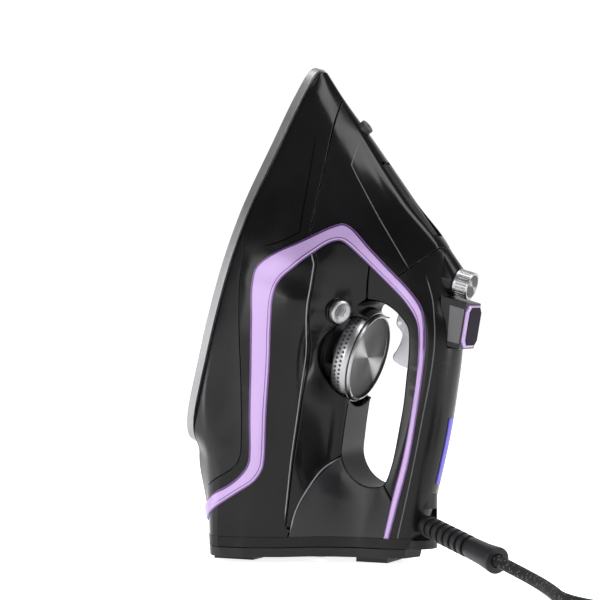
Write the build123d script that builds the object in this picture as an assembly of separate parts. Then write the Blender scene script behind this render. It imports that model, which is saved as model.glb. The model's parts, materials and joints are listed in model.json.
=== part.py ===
from build123d import *
import math
import os

os.makedirs("parts", exist_ok=True)

# ---------------------------------------------------------------- driving dimensions (mm)
TILT = 16.7            # the iron leans back this much when it stands on its heel
X0, Z0 = -56.8, 70.1   # where the rear end of the sole line sits, in the standing frame
SOLE_T = 4.5           # soleplate thickness
WALL = 2.6             # shell wall
TRIM_T = 1.2           # trim proud of the shell
DIAL_S, DIAL_R = 78.0, 28.8
DIAL_H0, DIAL_H1 = 72.5, 84.5
POCKET_R, POCKET_H = 29.6, 60.0
KNOB_S, KNOB_R = 137.7, 8.25
KNOB_H0, KNOB_H1 = 125.0, 134.3
BUT_R, BUT_TILT = 6.6, 27.0
BUT = (103.0, 28.2, 67.9)      # where the button axis meets the saddle
BALL = (76.0, 0.0, 25.0)       # cord swivel centre, standing frame
BALL_R = 9.0
GUARD_AZ, GUARD_DROP, GUARD_L = -36.0, 12.0, 88.0
CORD_D = 7.0
HEEL_Z0, HEEL_Z1 = 3.5, 9.0
DX = -28.2            # brings the middle of the iron over the origin

st, ct = math.sin(math.radians(TILT)), math.cos(math.radians(TILT))
stance = Location(Plane(origin=(X0, 0, Z0), x_dir=(st, 0, ct), z_dir=(ct, 0, -st)))


def world(s, y, h):
    """lying frame (s along the sole, y toward the near side, h above the sole) -> standing frame"""
    return (s * st + h * ct + X0, -y, s * ct - h * st + Z0)


def wdir(s, y, h):
    return (s * st + h * ct, -y, s * ct - h * st)


# half sections of the body, heel to nose: (h, half width), bottom to top
SEC = [
    (-80, [(38, 30), (45, 45), (51, 47), (56, 47.5), (66, 46.5), (83, 36.5), (96, 27.5), (108, 22), (119, 18.8), (132, 17.5), (144, 13.5), (149.5, 0)]),
    (-35, [(19.5, 30.5), (30, 44.5), (34, 47), (38, 48), (51, 47.5), (76, 38), (90, 27.5), (104, 21.5), (118, 18.3), (131.5, 17.5), (144, 13.5), (149, 0)]),
    (-5, [(6.5, 33), (21.5, 47), (27, 49), (33, 49.6), (47.5, 48.6), (71.5, 39), (84, 27.5), (98, 20), (116, 16.8), (130, 17.8), (143.5, 13), (148, 0)]),
    (10, [(5, 45.5), (17, 50), (24, 50.6), (30, 50.6), (46.5, 49.3), (68, 40.5), (80, 27.5), (92, 17.5), (115, 15.5), (129.5, 18.2), (143, 13), (147.5, 0)]),
    (45, [(5, 51.5), (9.5, 52.3), (20, 52), (33, 50.6), (46, 48.2), (60, 42), (72, 29), (84, 17), (114, 14.5), (128.5, 18.6), (141, 13), (145.6, 0)]),
    (80, [(5, 54.2), (9, 54.5), (18, 54), (26, 53), (39, 50.3), (56, 43.5), (62.5, 30), (79, 17), (110, 15), (126, 18.8), (137, 13), (141.3, 0)]),
    (103, [(5, 54.6), (9, 54.8), (16, 54.5), (23, 53.7), (36, 51.2), (54, 46), (66.5, 30), (77, 17), (101, 16), (121, 19.2), (133, 13), (137.3, 0)]),
    (113, [(5, 54), (9, 54), (15, 53.8), (21, 53.2), (37, 50), (53, 44.5), (66, 31), (78, 21), (95, 18), (116.5, 19), (130, 12.5), (134.3, 0)]),
    (127, [(5, 52.2), (9, 52.3), (14, 52), (28, 50.5), (42, 47.5), (52.5, 42.5), (64, 33), (78, 25), (93, 20.8), (107, 17.8), (121.5, 11), (126, 0)]),
    (141, [(5, 49.2), (9, 49.3), (14, 49.1), (28, 47.6), (42, 43.8), (53, 38.6), (64, 32), (76, 26.3), (88, 21.8), (103, 16.5), (117, 9.5), (121.3, 0)]),
    (151, [(5, 46.2), (9, 46.3), (13, 46.2), (26, 44.8), (38, 41.3), (50, 36.6), (61, 31), (73, 25.8), (85, 20.6), (98, 15.5), (113.6, 9), (117, 0)]),
    (176, [(5, 34.3), (9, 34.5), (12, 34.4), (20, 33.7), (29, 32.1), (38, 29.8), (47, 26.7), (56, 23), (64, 18.8), (72, 14.5), (81, 8.8), (83.8, 0)]),
    (205, [(5, 22.2), (8, 22.2), (11, 21.9), (15, 21.2), (19, 20.1), (23, 18.7), (28, 16.5), (32, 14.2), (36, 11.8), (40, 9.2), (44.3, 6), (46.3, 0)]),
    (221, [(5, 14.9), (6.5, 14.8), (8, 14.4), (10, 13.6), (12, 12.6), (14, 11.4), (16, 10), (18, 8.4), (19.8, 6.8), (21.6, 5), (23.6, 2.8), (24.5, 0)]),
    (234.6, [(5, 3), (5.2, 3), (5.4, 2.9), (5.6, 2.8), (5.8, 2.6), (6.0, 2.4), (6.2, 2.1), (6.4, 1.8), (6.6, 1.4), (6.8, 1.0), (7, .5), (7.1, 0)]),
]


def section_face(s, pts):
    near = [(s, w, h) for h, w in pts]
    far = [(s, -w, h) for h, w in pts if w > 0]
    ring = near + far[::-1]
    return Face(Wire.make_polygon([Vector(*p) for p in ring], close=True))


def envelope(grow=0.0, last=99, open_bottom=False, first=0):
    faces = []
    for i, (s, pts) in enumerate(SEC):
        if i > last or i < first:
            continue
        q = []
        for k, (h, w) in enumerate(pts):
            hh, ww = h, (max(w + grow, 0.35) if w > 0 else 0)
            if k == 0:
                hh = h - grow
                if open_bottom and s >= 10:
                    hh = -4.0
            if k == 11:
                hh = h + grow
            if k == 10:
                hh = h + grow * 0.7
            q.append((hh, ww))
        faces.append(section_face(s, q))
    return Solid.make_loft([f.outer_wire() for f in faces], ruled=True)


def prism(pts, half, y0=None, y1=None):
    """side-view outline (s, h) extruded across the iron"""
    a, b = (-half, half) if y0 is None else (y0, y1)
    f = Face(Wire.make_polygon([Vector(s, a, h) for s, h in pts], close=True))
    return Solid.extrude(f, Vector(0, b - a, 0))


def poly_offset(pts, d):
    """outward offset of a closed side-view outline"""
    f = Face(Wire.make_polygon([Vector(s, h, 0) for s, h in pts], close=True))
    w = f.outer_wire().offset_2d(d, kind=Kind.INTERSECTION)
    return w


def prism_wire(w, half):
    f = Face(w)
    if f.normal_at().Z < 0:
        f = -f
    e = Solid.extrude(f, Vector(0, 0, 2 * half))
    # plan (x, y) -> side view (s, h)
    return Location(Plane(origin=(0, half, 0), x_dir=(1, 0, 0), z_dir=(0, -1, 0))) * e


def cyl(r, h0, h1, s=0.0, y=0.0):
    return Location((s, y, h0)) * Solid.make_cylinder(r, h1 - h0)


def box(s0, s1, y0, y1, h0, h1):
    return Location((s0, y0, h0)) * Solid.make_box(s1 - s0, y1 - y0, h1 - h0)


def ring(ro, ri, h0, h1, s=0.0, y=0.0):
    return cyl(ro, h0, h1, s, y) - cyl(ri, h0 - 1, h1 + 1, s, y)


def solids_of(shape, keep=1, floor=2.0):
    ss = sorted(shape.solids(), key=lambda q: -q.volume)
    ss = [q for q in ss if q.volume > floor]
    return ss[:keep] if keep else ss


NODES = {}


def put(name, shape, lying=True, keep=1):
    ss = solids_of(shape, keep)
    sh = ss[0] if len(ss) == 1 else Compound(children=ss)
    if lying:
        sh = stance * sh
    sh = Location((DX, 0, 0)) * sh
    NODES[name] = sh
    export_step(sh, f"parts/{name}.step")
    bb = sh.bounding_box()
    print(f"{name:22s} n={len(shape.solids())} kept={len(ss)} vol={sh.volume/1000:.2f}cm3 "
          f"x{bb.min.X:.0f}..{bb.max.X:.0f} y{bb.min.Y:.0f}..{bb.max.Y:.0f} z{bb.min.Z:.0f}..{bb.max.Z:.0f}", flush=True)
    return sh


# ---------------------------------------------------------------- body envelope and openings
E0 = envelope()
CAV = envelope(-WALL, last=13, open_bottom=True)
ET = envelope(TRIM_T)

OPEN = [(53, 84.8), (41, 86.3), (30, 88), (20, 90), (13, 94.5), (8, 100), (5.5, 106), (6.5, 112), (12, 116), (26, 117),
        (48, 115.5), (60, 113.3), (75, 110.8), (86, 108), (94, 104.5), (100, 99.5), (106, 91), (110, 83), (112, 78),
        (109, 76), (103, 77), (80, 80), (65, 83)]
o0 = prism(OPEN, 90)
o1 = prism_wire(poly_offset(OPEN, WALL), 90)
pocket = cyl(POCKET_R, POCKET_H, 96, DIAL_S)
pocket1 = cyl(POCKET_R + WALL, POCKET_H - WALL, 96, DIAL_S)

heel_cut = Location((0, 0, HEEL_Z1)) * (Location((-200, -200, 0)) * Solid.make_box(600, 400, 600))
heel_loc = stance.inverse() * heel_cut          # half space above the heel plate, lying frame

outer = E0 - o0 - pocket
hollow = CAV - o1 - pocket1

# swivel seat: vertical cylinder in the standing frame
seat_w = Location((BALL[0], 0, HEEL_Z1)) * Solid.make_cylinder(12.5, 32)
slot_w = None
for az in (-57, -46, -36, -26, -16, -5):
    fan = Location((BALL[0], 0, 14.2), (0, 0, az)) * (Location((0, -7.0, 0)) * Solid.make_box(27, 14.0, 18.4))
    slot_w = fan if slot_w is None else slot_w.fuse(fan)
seat = stance.inverse() * seat_w
slot = stance.inverse() * slot_w

# ---------------------------------------------------------------- side-view regions
V_MID = [(147.5, 60), (138, 78), (129, 93), (123, 104), (109, 117), (100, 120.5), (85, 124), (56, 127.8), (30, 130.3),
         (6.6, 130.6), (-60, 131.5)]
R_LOW = [(-95, -10), (-95, 86.2), (129, 52.5), (142, 44), (186, 34), (222, 23.6), (226, 20), (240, 18), (245, -10)]
R_TANK = [(142, 44), (147.5, 60), (138, 78), (129, 93), (158, 114), (180, 160), (260, 60), (240, 18), (226, 20), (222, 23.6), (186, 34)]
R_TOP = V_MID[2:] + [(-60, 190), (180, 190), (180, 160), (158, 114)]
R_SAD = [(-95, 86.2), (129, 52.5), (142, 44), (147.5, 60), (138, 78), (112.5, 77.5), (100, 90), (24, 98), (20, 90), (15, 86), (0, 80.7), (-17, 78.3), (-35, 79), (-95, 88)]
R_HLOW = [(138, 78), (112.5, 77.5), (100, 90), (24, 98), (20, 90), (15, 86), (0, 80.7), (-17, 78.3), (-35, 79), (-95, 88), (-95, 131.5)] + V_MID[::-1][:-2]


def region(solid, pts):
    return solid & prism(pts, 90)


skin = outer - hollow
skin = skin & heel_loc
print("skin", skin.volume / 1000, flush=True)

# ---------------------------------------------------------------- knob, display, light strip cutters
collar_c = cyl(9.0, 112.0, 124.6, KNOB_S)
DISP = [(101.0, 128.6), (128.4, 121.6), (128.4, 138.0), (101.6, 141.2)]
disp_c = prism(DISP, 12.5)
strip_c = prism([(20, 144.6), (60, 142.0), (60, 150), (20, 152)], 1.7)

# ---------------------------------------------------------------- lower shell
low = region(skin, R_LOW)
low = low & box(-200, 300, -90, 90, 6.5, 200).fuse(box(-200, 0.5, -90, 90, -20, 200))
put("lower_shell", low)

# ---------------------------------------------------------------- fill door on the front slope
d1, d2 = (0.607, -0.794), (0.794, 0.607)         # along the slope toward the nose / outward


def crest(s):
    return 117 - (s - 151) * 1.328 if s < 176 else 83.8 - (s - 176) * 1.293


AX_S = 162.0
ax = (AX_S - 2.2 * d2[0], crest(AX_S) - 2.2 * d2[1])   # hinge pin, 2.2 below the crest
LD = 50.0


def along(a, n):
    return (ax[0] + a * d1[0] + n * d2[0], ax[1] + a * d1[1] + n * d2[1])


def door_body(g, half, out=9.0):
    p = prism([along(0, -2.0 - g), along(LD + g, -2.0 - g), along(LD + g, out), along(0, out)], half + g)
    c = Location((ax[0], -(half + g), ax[1]), (-90, 0, 0)) * Solid.make_cylinder(2.0 + g, 2 * (half + g))
    up = prism([along(-2.0 - g, 0), along(0.5, 0), along(0.5, out), along(-2.0 - g, out)], half + g)
    return p.fuse(c).fuse(up) if g > 0 else p.fuse(c)


door_p = door_body(0.35, 6.3)
pin_c = Location((ax[0], -9.0, ax[1]), (-90, 0, 0)) * Solid.make_cylinder(0.9, 18.0)
pin_hole = Location((ax[0], -9.6, ax[1]), (-90, 0, 0)) * Solid.make_cylinder(0.93, 19.2)
noz_o = (208.5, 41.0)
noz_plane = Location(Plane(origin=(noz_o[0] - 6 * d2[0], 0, noz_o[1] - 6 * d2[1]), x_dir=(0, 1, 0), z_dir=(d2[0], 0, d2[1])))
noz_c = noz_plane * Solid.make_cylinder(4.4, 9.2)
inlet = Location(Plane(origin=along(38, -12)[:1] + (0,) + along(38, -12)[1:], x_dir=(0, 1, 0), z_dir=(d2[0], 0, d2[1]))) * Solid.make_cylinder(4.6, 14)

tank_o = region(outer, R_TANK)
R_TANK_IN = [(146, 47), (151, 60), (142, 78.5), (134, 93), (157, 109.5), (182, 150), (250, 60), (228, 26), (222, 27.5), (187, 37.2)]
tank_i = region(CAV, R_TANK_IN) - door_body(2.6, 6.3) - (noz_plane * Location((0, 0, -2.5)) * Solid.make_cylinder(7, 20))
tank = tank_o - tank_i - door_p - noz_c - inlet - pin_c - collar_c
put("water_tank", tank)
door = (E0 & door_body(0.0, 6.3)) - pin_hole
put("fill_door", door)
put("door_hinge_pin", pin_c)
noz = noz_c - (noz_plane * Solid.make_cylinder(0.7, 12))
put("spray_nozzle", noz)

# ---------------------------------------------------------------- saddle with dial pocket and button seat
bs, bc = math.sin(math.radians(BUT_TILT)), math.cos(math.radians(BUT_TILT))


def on_button(a):
    return (BUT[0], BUT[1] + a * bs, BUT[2] + a * bc)


def bcyl(r, a0, a1):
    return Location(Plane(origin=on_button(a0), x_dir=(1, 0, 0), z_dir=(0, bs, bc))) * Solid.make_cylinder(r, a1 - a0)


sad = region(skin, R_SAD) - bcyl(8.0, -12, 12) - cyl(3.3, 40, 61, DIAL_S) - seat
put("saddle_shell", sad)

# ---------------------------------------------------------------- handle, lower shell and top cover
TRIG = [(104.5, 95.6), (101.5, 93.6), (97, 93.8), (92.5, 96.4), (89.3, 101.2), (87.6, 107.4), (88.6, 111.5), (94, 113.0), (101, 107.5), (107.5, 101.0), (107.8, 97.2)]
trig_piv = (104.6, 99.0)
TRIG_GAP = [(109.6, 94.0), (100, 90), (85.6, 98), (84.9, 115.5), (92, 117.5), (103, 111.5), (110.4, 103)]
trig_slot = prism(TRIG_GAP, 6.6)
hlow = region(skin, R_HLOW) - trig_slot - seat - slot - collar_c
hpin = Location((trig_piv[0], -11, trig_piv[1]), (-90, 0, 0)) * Solid.make_cylinder(1.25, 22)
bracket = box(trig_piv[0] - 4, trig_piv[0] + 4, 6.6, 16.5, trig_piv[1] - 3, trig_piv[1] + 3).fuse(
    box(trig_piv[0] - 4, trig_piv[0] + 4, -16.5, -6.6, trig_piv[1] - 3, trig_piv[1] + 3))
hlow = hlow.fuse((bracket & outer)) - hpin
put("handle_lower", hlow)
top = region(skin, R_TOP) - collar_c - disp_c - strip_c - seat - slot - cyl(KNOB_R + 0.5, 124.6, 140, KNOB_S)
put("handle_top", top)
trig = prism(TRIG, 6.1) - (Location((trig_piv[0], -20, trig_piv[1]), (-90, 0, 0)) * Solid.make_cylinder(1.32, 40))
put("steam_trigger", trig)
put("trigger_pin", hpin)
put("light_strip", (E0 & strip_c))

# ---------------------------------------------------------------- trims
OUT = [(-35, 18.0), (-28, 24.5), (-21, 30.5), (-14.6, 37), (-7.8, 42.5), (-0.2, 46.5), (6, 46.6), (33.3, 38.9), (62, 31.8), (85, 26.2), (106, 20.8),
       (115.7, 20.6), (124.7, 26.5), (137.3, 40.1), (150.6, 53.4), (153.6, 58), (152.3, 63.1), (143.5, 76.6), (135.2, 89.9),
       (126.7, 104.3), (118.3, 115), (108.3, 120.3), (98.9, 123.2), (90.3, 125), (61.5, 129.2), (30.7, 132.3), (7.3, 132.9), (-40, 133.6)]
INN = [(-41.5, 25.5), (-35, 29.5), (-29, 34), (-17.1, 44.4), (-6.8, 53.0), (1.4, 55.8), (8, 55.8), (36.5, 49), (65.5, 43.2), (85.6, 38.6), (103.1, 35.6),
       (112.4, 36.6), (122.1, 42.4), (132, 48.9), (140.6, 55.2), (143.4, 59.5), (142.5, 63.2), (133.3, 79.3), (126.4, 91.1),
       (118.8, 103.9), (110.1, 113.6), (101.5, 117.6), (91.8, 120.2), (80.4, 122.6), (52.2, 126.4), (29.3, 128.3), (5.9, 128.6), (-42, 130)]
band = OUT + INN[::-1]
tr = ((ET - E0) & heel_loc) - seat - slot
put("trim_near", tr & prism(band, 0, 0.5, 90))
put("trim_far", tr & prism(band, 0, -90, -0.5))

# ---------------------------------------------------------------- knob group
put("knob_collar", collar_c - cyl(3.05, 100, 130, KNOB_S))
knob = cyl(KNOB_R, KNOB_H0, KNOB_H1, KNOB_S)
for k in range(28):
    a = 2 * math.pi * k / 28
    knob = knob - cyl(0.42, KNOB_H0 + 1.6, KNOB_H1 - 1.2, KNOB_S + KNOB_R * math.cos(a), KNOB_R * math.sin(a))
knob = knob - cyl(6.7, KNOB_H1 - 0.9, KNOB_H1 + 1, KNOB_S) - cyl(3.0, KNOB_H0 - 1, KNOB_H0 + 5, KNOB_S)
put("steam_knob", knob)
put("knob_cap", cyl(6.7, KNOB_H1 - 0.9, KNOB_H1 + 0.3, KNOB_S))
put("knob_shaft", cyl(3.0, 106.2, KNOB_H0 + 5, KNOB_S))
put("steam_valve", ring(6.2, 3.05, 106, 111.9, KNOB_S) + cyl(6.2, 104.8, 106, KNOB_S))

# ---------------------------------------------------------------- display
disp_in = prism([(103.2, 130.4), (126.4, 124.6), (126.4, 136.2), (103.4, 139.0)], 10.6)
top_ang = math.degrees(math.atan2(141.2 - 138.0, 128.4 - 101.6))
tdx, tdh = -math.cos(math.radians(top_ang)), math.sin(math.radians(top_ang))
face_pl = Location(Plane(origin=(115.0, 0, (138.0 + 141.2) / 2), x_dir=(-tdx, 0, -tdh), z_dir=(tdh, 0, -tdx)))
win_c = face_pl * (Location((-9.6, -8.4, -1.9)) * Solid.make_box(19.2, 16.8, 4))
disp = (disp_c - disp_in - win_c) - cyl(KNOB_R + 0.5, 120, 150, KNOB_S)
put("display_housing", disp)
put("display_window", face_pl * (Location((-9.6, -8.4, -1.9)) * Solid.make_box(19.2, 16.8, 1.9)))
fr = face_pl * (Location((-12.4, -11.2, 0)) * Solid.make_box(24.8, 22.4, 1.5))
fr = fr - face_pl * (Location((-8.9, -7.7, -1)) * Solid.make_box(17.8, 15.4, 4))
fr = chamfer(fr.edges().filter_by(Axis((0, 0, 0), (tdh, 0, -tdx)), tolerance=1e-2).sort_by(SortBy.LENGTH)[:0] or
             [e for e in fr.edges() if abs(e.length - 1.5) < 1e-3 and abs(abs((e.center() - Vector(115, 0, 139.6)).Y) - 11.2) < 0.1], 3.6)
put("display_frame", fr)
put("display_board", face_pl * (Location((-9.5, -8.2, -5.0)) * Solid.make_box(19, 16.4, 1.6)))

# ---------------------------------------------------------------- temperature dial
rim = ring(DIAL_R, 24.3, 82.0, DIAL_H1, DIAL_S).fuse(cyl(DIAL_R, DIAL_H0, 82.0, DIAL_S))
rim = rim - cyl(24.3, 81.0, 90, DIAL_S)
cuts = []
for k in range(40):
    a = 2 * math.pi * (k + 0.5) / 40
    cuts.append(Location((DIAL_S + DIAL_R * math.cos(a), DIAL_R * math.sin(a), 77.5)) * Solid.make_sphere(1.25, angle1=-90, angle2=90))
rim = rim - Compound(children=cuts)
rim = rim - cyl(8.0, 71, 76, DIAL_S)
put("dial_rim", rim)
put("dial_face", cyl(24.25, 81.0, 82.6, DIAL_S) + ring(13.5, 12.4, 82.6, 83.0, DIAL_S))
hub = cyl(11.0, 64.3, DIAL_H0, DIAL_S).fuse(cyl(8.0, DIAL_H0, 76, DIAL_S)).fuse(cyl(3.0, 46, 64.5, DIAL_S))
put("dial_hub", hub)
put("dial_marker", Location((0, 0, 0)) * (ring(28.3, 26.0, DIAL_H1, DIAL_H1 + 0.5, DIAL_S) & box(DIAL_S - 30, DIAL_S - 20, -2.2, 2.2, 80, 90)))
put("dial_collar", ring(18.8, 11.6, POCKET_H, 63.4, DIAL_S) + ring(11.6, 3.05, POCKET_H, 63.4, DIAL_S))
put("thermostat", ring(13, 3.05, 40, 56.8, DIAL_S) + cyl(13, 33, 40, DIAL_S) + cyl(4.5, 25.4, 33, DIAL_S))

# ---------------------------------------------------------------- self-clean button
sleeve = (bcyl(8.0, -10, 0.9) - bcyl(6.75, -11, 3))
put("button_sleeve", sleeve)
but = bcyl(BUT_R, -4.0, 2.9)
put("clean_button", but)
put("clean_rod", bcyl(1.6, -17.0, -4.0))

# ---------------------------------------------------------------- soleplate and steam chamber
SOLE = [(233.2, 8.4), (223, 15.8), (212, 21.6), (191, 30.6), (171, 39.4), (151, 47.6), (131, 52.9), (111, 55.7), (92, 56.3), (72, 55.6),
        (52, 53.8), (32, 51.6), (16, 48.0), (5, 40), (-0.5, 26)]


def half_width(s):
    q = sorted([(236.0, 0.0)] + SOLE)
    for (s0, w0), (s1, w1) in zip(q, q[1:]):
        if s0 <= s <= s1:
            return w0 + (w1 - w0) * (s - s0) / (s1 - s0)
    return 0.0


def sole_face(inset=0.0):
    if not inset:
        pts = [(236.0, 0.0)] + SOLE + [(-2.0, 0.0)]
        ring_ = [Vector(s, w, 0) for s, w in pts] + [Vector(s, -w, 0) for s, w in pts[1:-1][::-1]]
        f = Face(Wire([Edge.make_spline(ring_, periodic=True)]))
    else:
        # inset plates follow the sole outline, blunt at the nose and straight at the heel
        d = inset * 1.08
        st_ = [inset] + [s for s in range(15, 230, 12) if s > inset + 4 and half_width(s) - d > 4.0]
        end = min(216, max(s for s in range(20, 232) if half_width(s) - d > 3.0))
        st_ = [s for s in st_ if s < end - 3] + [end]
        near = [(s, half_width(s) - d) for s in st_]
        ring_ = [Vector(s, w, 0) for s, w in near] + [Vector(s, -w, 0) for s, w in near[::-1]]
        f = Face(Wire.make_polygon(ring_, close=True))
    return f if f.normal_at().Z > 0 else -f


def plate(inset, h0, h1):
    return Location((0, 0, h0)) * Solid.extrude(sole_face(inset), Vector(0, 0, h1 - h0))


sole = plate(0, 0, SOLE_T)
holes = []
for s, w in [(214, 9), (200, 14), (186, 19.5), (171, 25), (155, 30), (139, 34), (122, 37), (104, 39), (86, 39.5), (68, 39), (50, 37.5), (33, 35)]:
    holes += [cyl(1.1, -1, 6, s, w), cyl(1.1, -1, 6, s, -w)]
for s, w in [(206, 0), (192, 7), (176, 10), (158, 12)]:
    holes += [cyl(1.1, -1, 6, s, w)] + ([cyl(1.1, -1, 6, s, -w)] if w else [])
sole = sole - Compound(children=holes)
try:
    be = [e for e in sole.edges() if e.length > 400]
    sole = chamfer(be[:1], 0.6) if False else sole
except Exception:
    pass
put("soleplate", sole)
skirt = (plate(3.6, SOLE_T, 6.5) - plate(7.0, 4, 7))
put("heat_skirt", skirt)

# tubular element: horseshoe around the chamber
EL = [(12, 27), (40, 36.5), (75, 41), (110, 40), (145, 31.5), (175, 17), (186, 0)]
el_pts = [Vector(s, w, 10.5) for s, w in EL] + [Vector(s, -w, 10.5) for s, w in EL[:-1][::-1]]
el_path = Edge.make_spline(el_pts)
el = Solid.sweep(Wire.make_circle(3.4, Plane(origin=el_path.position_at(0), z_dir=el_path.tangent_at(0))), Wire([el_path]))
cast = plate(9.5, SOLE_T, 19.0)
steamroom = plate(26, 8.0, 20.0)
cast = cast - steamroom - el
cast = cast - box(4, 12.6, 20, 34, 6, 20) - box(4, 12.6, -34, -20, 6, 20)
put("steam_chamber", cast)
put("heating_element", el)
t1 = box(8.2, 11.9, 25.2, 28.8, 8.8, 30).fuse(box(8.2, 11.9, -28.8, -25.2, 8.8, 30))
put("element_terminals", t1 - el, keep=0)
cover = plate(23, 19.0, 20.6) - cyl(4.6, 10, 30, 150) - bcyl(2.6, -80, 0)
put("chamber_cover", cover)
put("heat_shield", (plate(14, 24.2, 25.4) & box(0, 196, -90, 90, 20, 30)) - cyl(5.2, 20, 30, 150) - box(6, 14, 23, 31, 20, 40) - box(6, 14, -31, -23, 20, 40))
put("drip_valve", cyl(4.5, 16, 38.5, 150) - cyl(1.2, 10, 60, 150))
put("thermal_fuse", Location((40, -10, 22.4), (0, 90, 0)) * Solid.make_cylinder(1.7, 16))

# ---------------------------------------------------------------- inside the handle and the heel
put("spray_pump", cyl(5.2, 84, 108, 121.5, 0) + cyl(2.0, 108, 113.5, 121.5, 0))
put("power_board", box(30, 84, -8, 8, 121.6, 123.2) + box(40, 52, -5, 5, 123.2, 130) + box(62, 72, -6, 6, 123.2, 128), keep=1)
put("terminal_block", box(-17, 0.5, -9, 9, 94, 110))
lead_path = Edge.make_spline([Vector(-8, 0, 93.9), Vector(-7, 0, 80), Vector(-1, 0, 62), Vector(6, 0, 45), Vector(9, 0, 33)], tangents=[Vector(0, 0, -1), Vector(0, 0, -1)])
lead = Solid.sweep(Wire.make_circle(2.4, Plane(origin=lead_path.position_at(0), z_dir=lead_path.tangent_at(0))), Wire([lead_path]))
put("lead_bundle", lead)

# ---------------------------------------------------------------- heel plate and feet
slab = Location((-200, -200, HEEL_Z0)) * Solid.make_box(600, 400, HEEL_Z1 - HEEL_Z0)
slab_in = Location((-200, -200, HEEL_Z0 + 3)) * Solid.make_box(600, 400, 20)
hp = (stance * E0) & slab
hp = hp - ((stance * CAV) & slab_in)
put("heel_plate", hp, lying=False)
f1 = Location((-43, -30, 0)) * Solid.make_box(26, 60, HEEL_Z0)
f2 = Location((42, -11, 0)) * Solid.make_box(20, 22, HEEL_Z0)
put("heel_feet", Compound(children=[f1, f2]), lying=False, keep=0)

# ---------------------------------------------------------------- cord swivel and guard (standing frame)
cup = seat_w - Location((BALL[0], 0, 15.2)) * Solid.make_cylinder(BALL_R + 0.4, 19.6) - slot_w
print("   cup", cup.volume, cup.is_valid)
put("swivel_socket", cup, lying=False)
gl = Location(BALL, (0, GUARD_DROP, GUARD_AZ)) * Location((0, 0, 0), (0, 90, 0))
ball = (Location(BALL) * Solid.make_sphere(BALL_R, angle1=-90, angle2=90)).fuse(gl * Solid.make_cylinder(5.4, 17))
put("swivel_ball", ball, lying=False)
prof = [(0, 17), (6.4, 17), (6.4, 22), (5.6, 22.6)]
x = 22.6
while x < 66:
    prof += [(5.6, x + 1.6), (6.7, x + 2.2), (6.7, x + 6.0), (5.6, x + 6.7)]
    x += 7.3
prof += [(5.9, 75), (6.6, 81), (8.0, 87), (8.2, GUARD_L), (6.6, GUARD_L), (5.2, 84), (4.7, 80), (0, 80)]
gf = Face(Wire.make_polygon([Vector(r, 0, a) for r, a in prof], close=True))
guard = gl * Solid.revolve(gf, 360, Axis.Z)
put("cord_guard", guard, lying=False)
CORD_IN = gl * Vector(0, 0, 80) if False else (gl * Location((0, 0, 80))).position
gdir = ((gl * Location((0, 0, 81))).position - CORD_IN)


def rounded(points):
    """straight runs with tangent arcs; each radius 0.45 * shorter run / tan(turn / 2)"""
    P = [Vector(*p) for p in points]
    rad = []
    for i in range(1, len(P) - 1):
        a, b = P[i] - P[i - 1], P[i + 1] - P[i]
        turn = math.radians(a.get_angle(b))
        rad.append(0.45 * min(a.length, b.length) / math.tan(turn / 2))
    runs = [(P[i + 1] - P[i]).length for i in range(len(P) - 1)]
    print("   runs", [round(r, 1) for r in runs], "radii", [round(r, 1) for r in rad])
    return FilletPolyline(*[tuple(p) for p in P], radius=rad)


def tube(points, d):
    path = rounded(points)
    w = Wire(path.edges()) if not isinstance(path, Wire) else path
    prof_ = Wire.make_circle(d / 2, Plane(origin=w.position_at(0), z_dir=w.tangent_at(0)))
    t = Solid.sweep(prof_, w)
    print("   tube volume", round(t.volume), "section x length", round(math.pi * d * d / 4 * w.length), "length", round(w.length, 1))
    return t


C = (278.0, -120.0)
RO, RI, CH = 45.5, 31.5, 27.0
c0 = CORD_IN
c1 = CORD_IN + gdir * 30
ROUTE = [tuple(c0), tuple(c1), (193.0, -103.0, 3.6), (212.0, -141.0, 3.6), (240.0, -162.0, 3.6), (272.0, -162.0, 3.6)]
print("cord route", [tuple(round(v, 3) for v in p) for p in ROUTE])
cord = tube(ROUTE, CORD_D)
coil = Location((C[0], C[1], 0.1)) * (Solid.make_cylinder(RO, CH) - Solid.make_cylinder(RI, CH))
coil = fillet(coil.edges(), 3.2)
TAIL = [(C[0] + 38.0, C[1] + 30.0, 3.6), (C[0] + 44.0, C[1] + 66.0, 3.6), (C[0] + 30.0, C[1] + 98.0, 3.6)]
tail = tube(TAIL, CORD_D)
put("cord_lead", cord, lying=False)
coil = coil - cord - tail
put("cord_coil", coil, lying=False)
put("cord_tail", tail, lying=False)
pd = Vector(*TAIL[2]) - Vector(*TAIL[1])
pa = math.degrees(math.atan2(pd.Y, pd.X))
pl = Location((TAIL[2][0], TAIL[2][1], 0), (0, 0, pa))
prof_p = [(0, 20), (9, 20), (16, 26), (17.2, 34), (18.5, 52), (18.5, 56), (0, 56)]
pf = Face(Wire.make_polygon([Vector(r, 0, a) for r, a in prof_p], close=True))
plug = pl * (Location((0, 0, 18.5), (0, 90, 0)) * Solid.revolve(pf, 360, Axis.Z))
pins = []
for y in (-9.5, 9.5):
    pins.append(pl * (Location((50, y, 18.5), (0, 90, 0)) * Solid.make_cylinder(2.4, 25)))
bridge = pl * (Location((50, -10, 16.5)) * Solid.make_box(3, 20, 4))
pinset = pins[0].fuse(pins[1]).fuse(bridge)
plug = plug - pinset
put("plug_body", plug, lying=False)
put("plug_pins", pinset, lying=False)
p_a, p_b = (pl * Location((0, 0, 3.6))).position, (pl * Location((20, 0, 18.5))).position
dd = (p_b - p_a)
rel = Location(Plane(origin=p_a, z_dir=dd)) * Solid.make_cone(4.3, 7.4, dd.length)
rel = rel - plug - tail
put("plug_relief", rel, lying=False)

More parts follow.
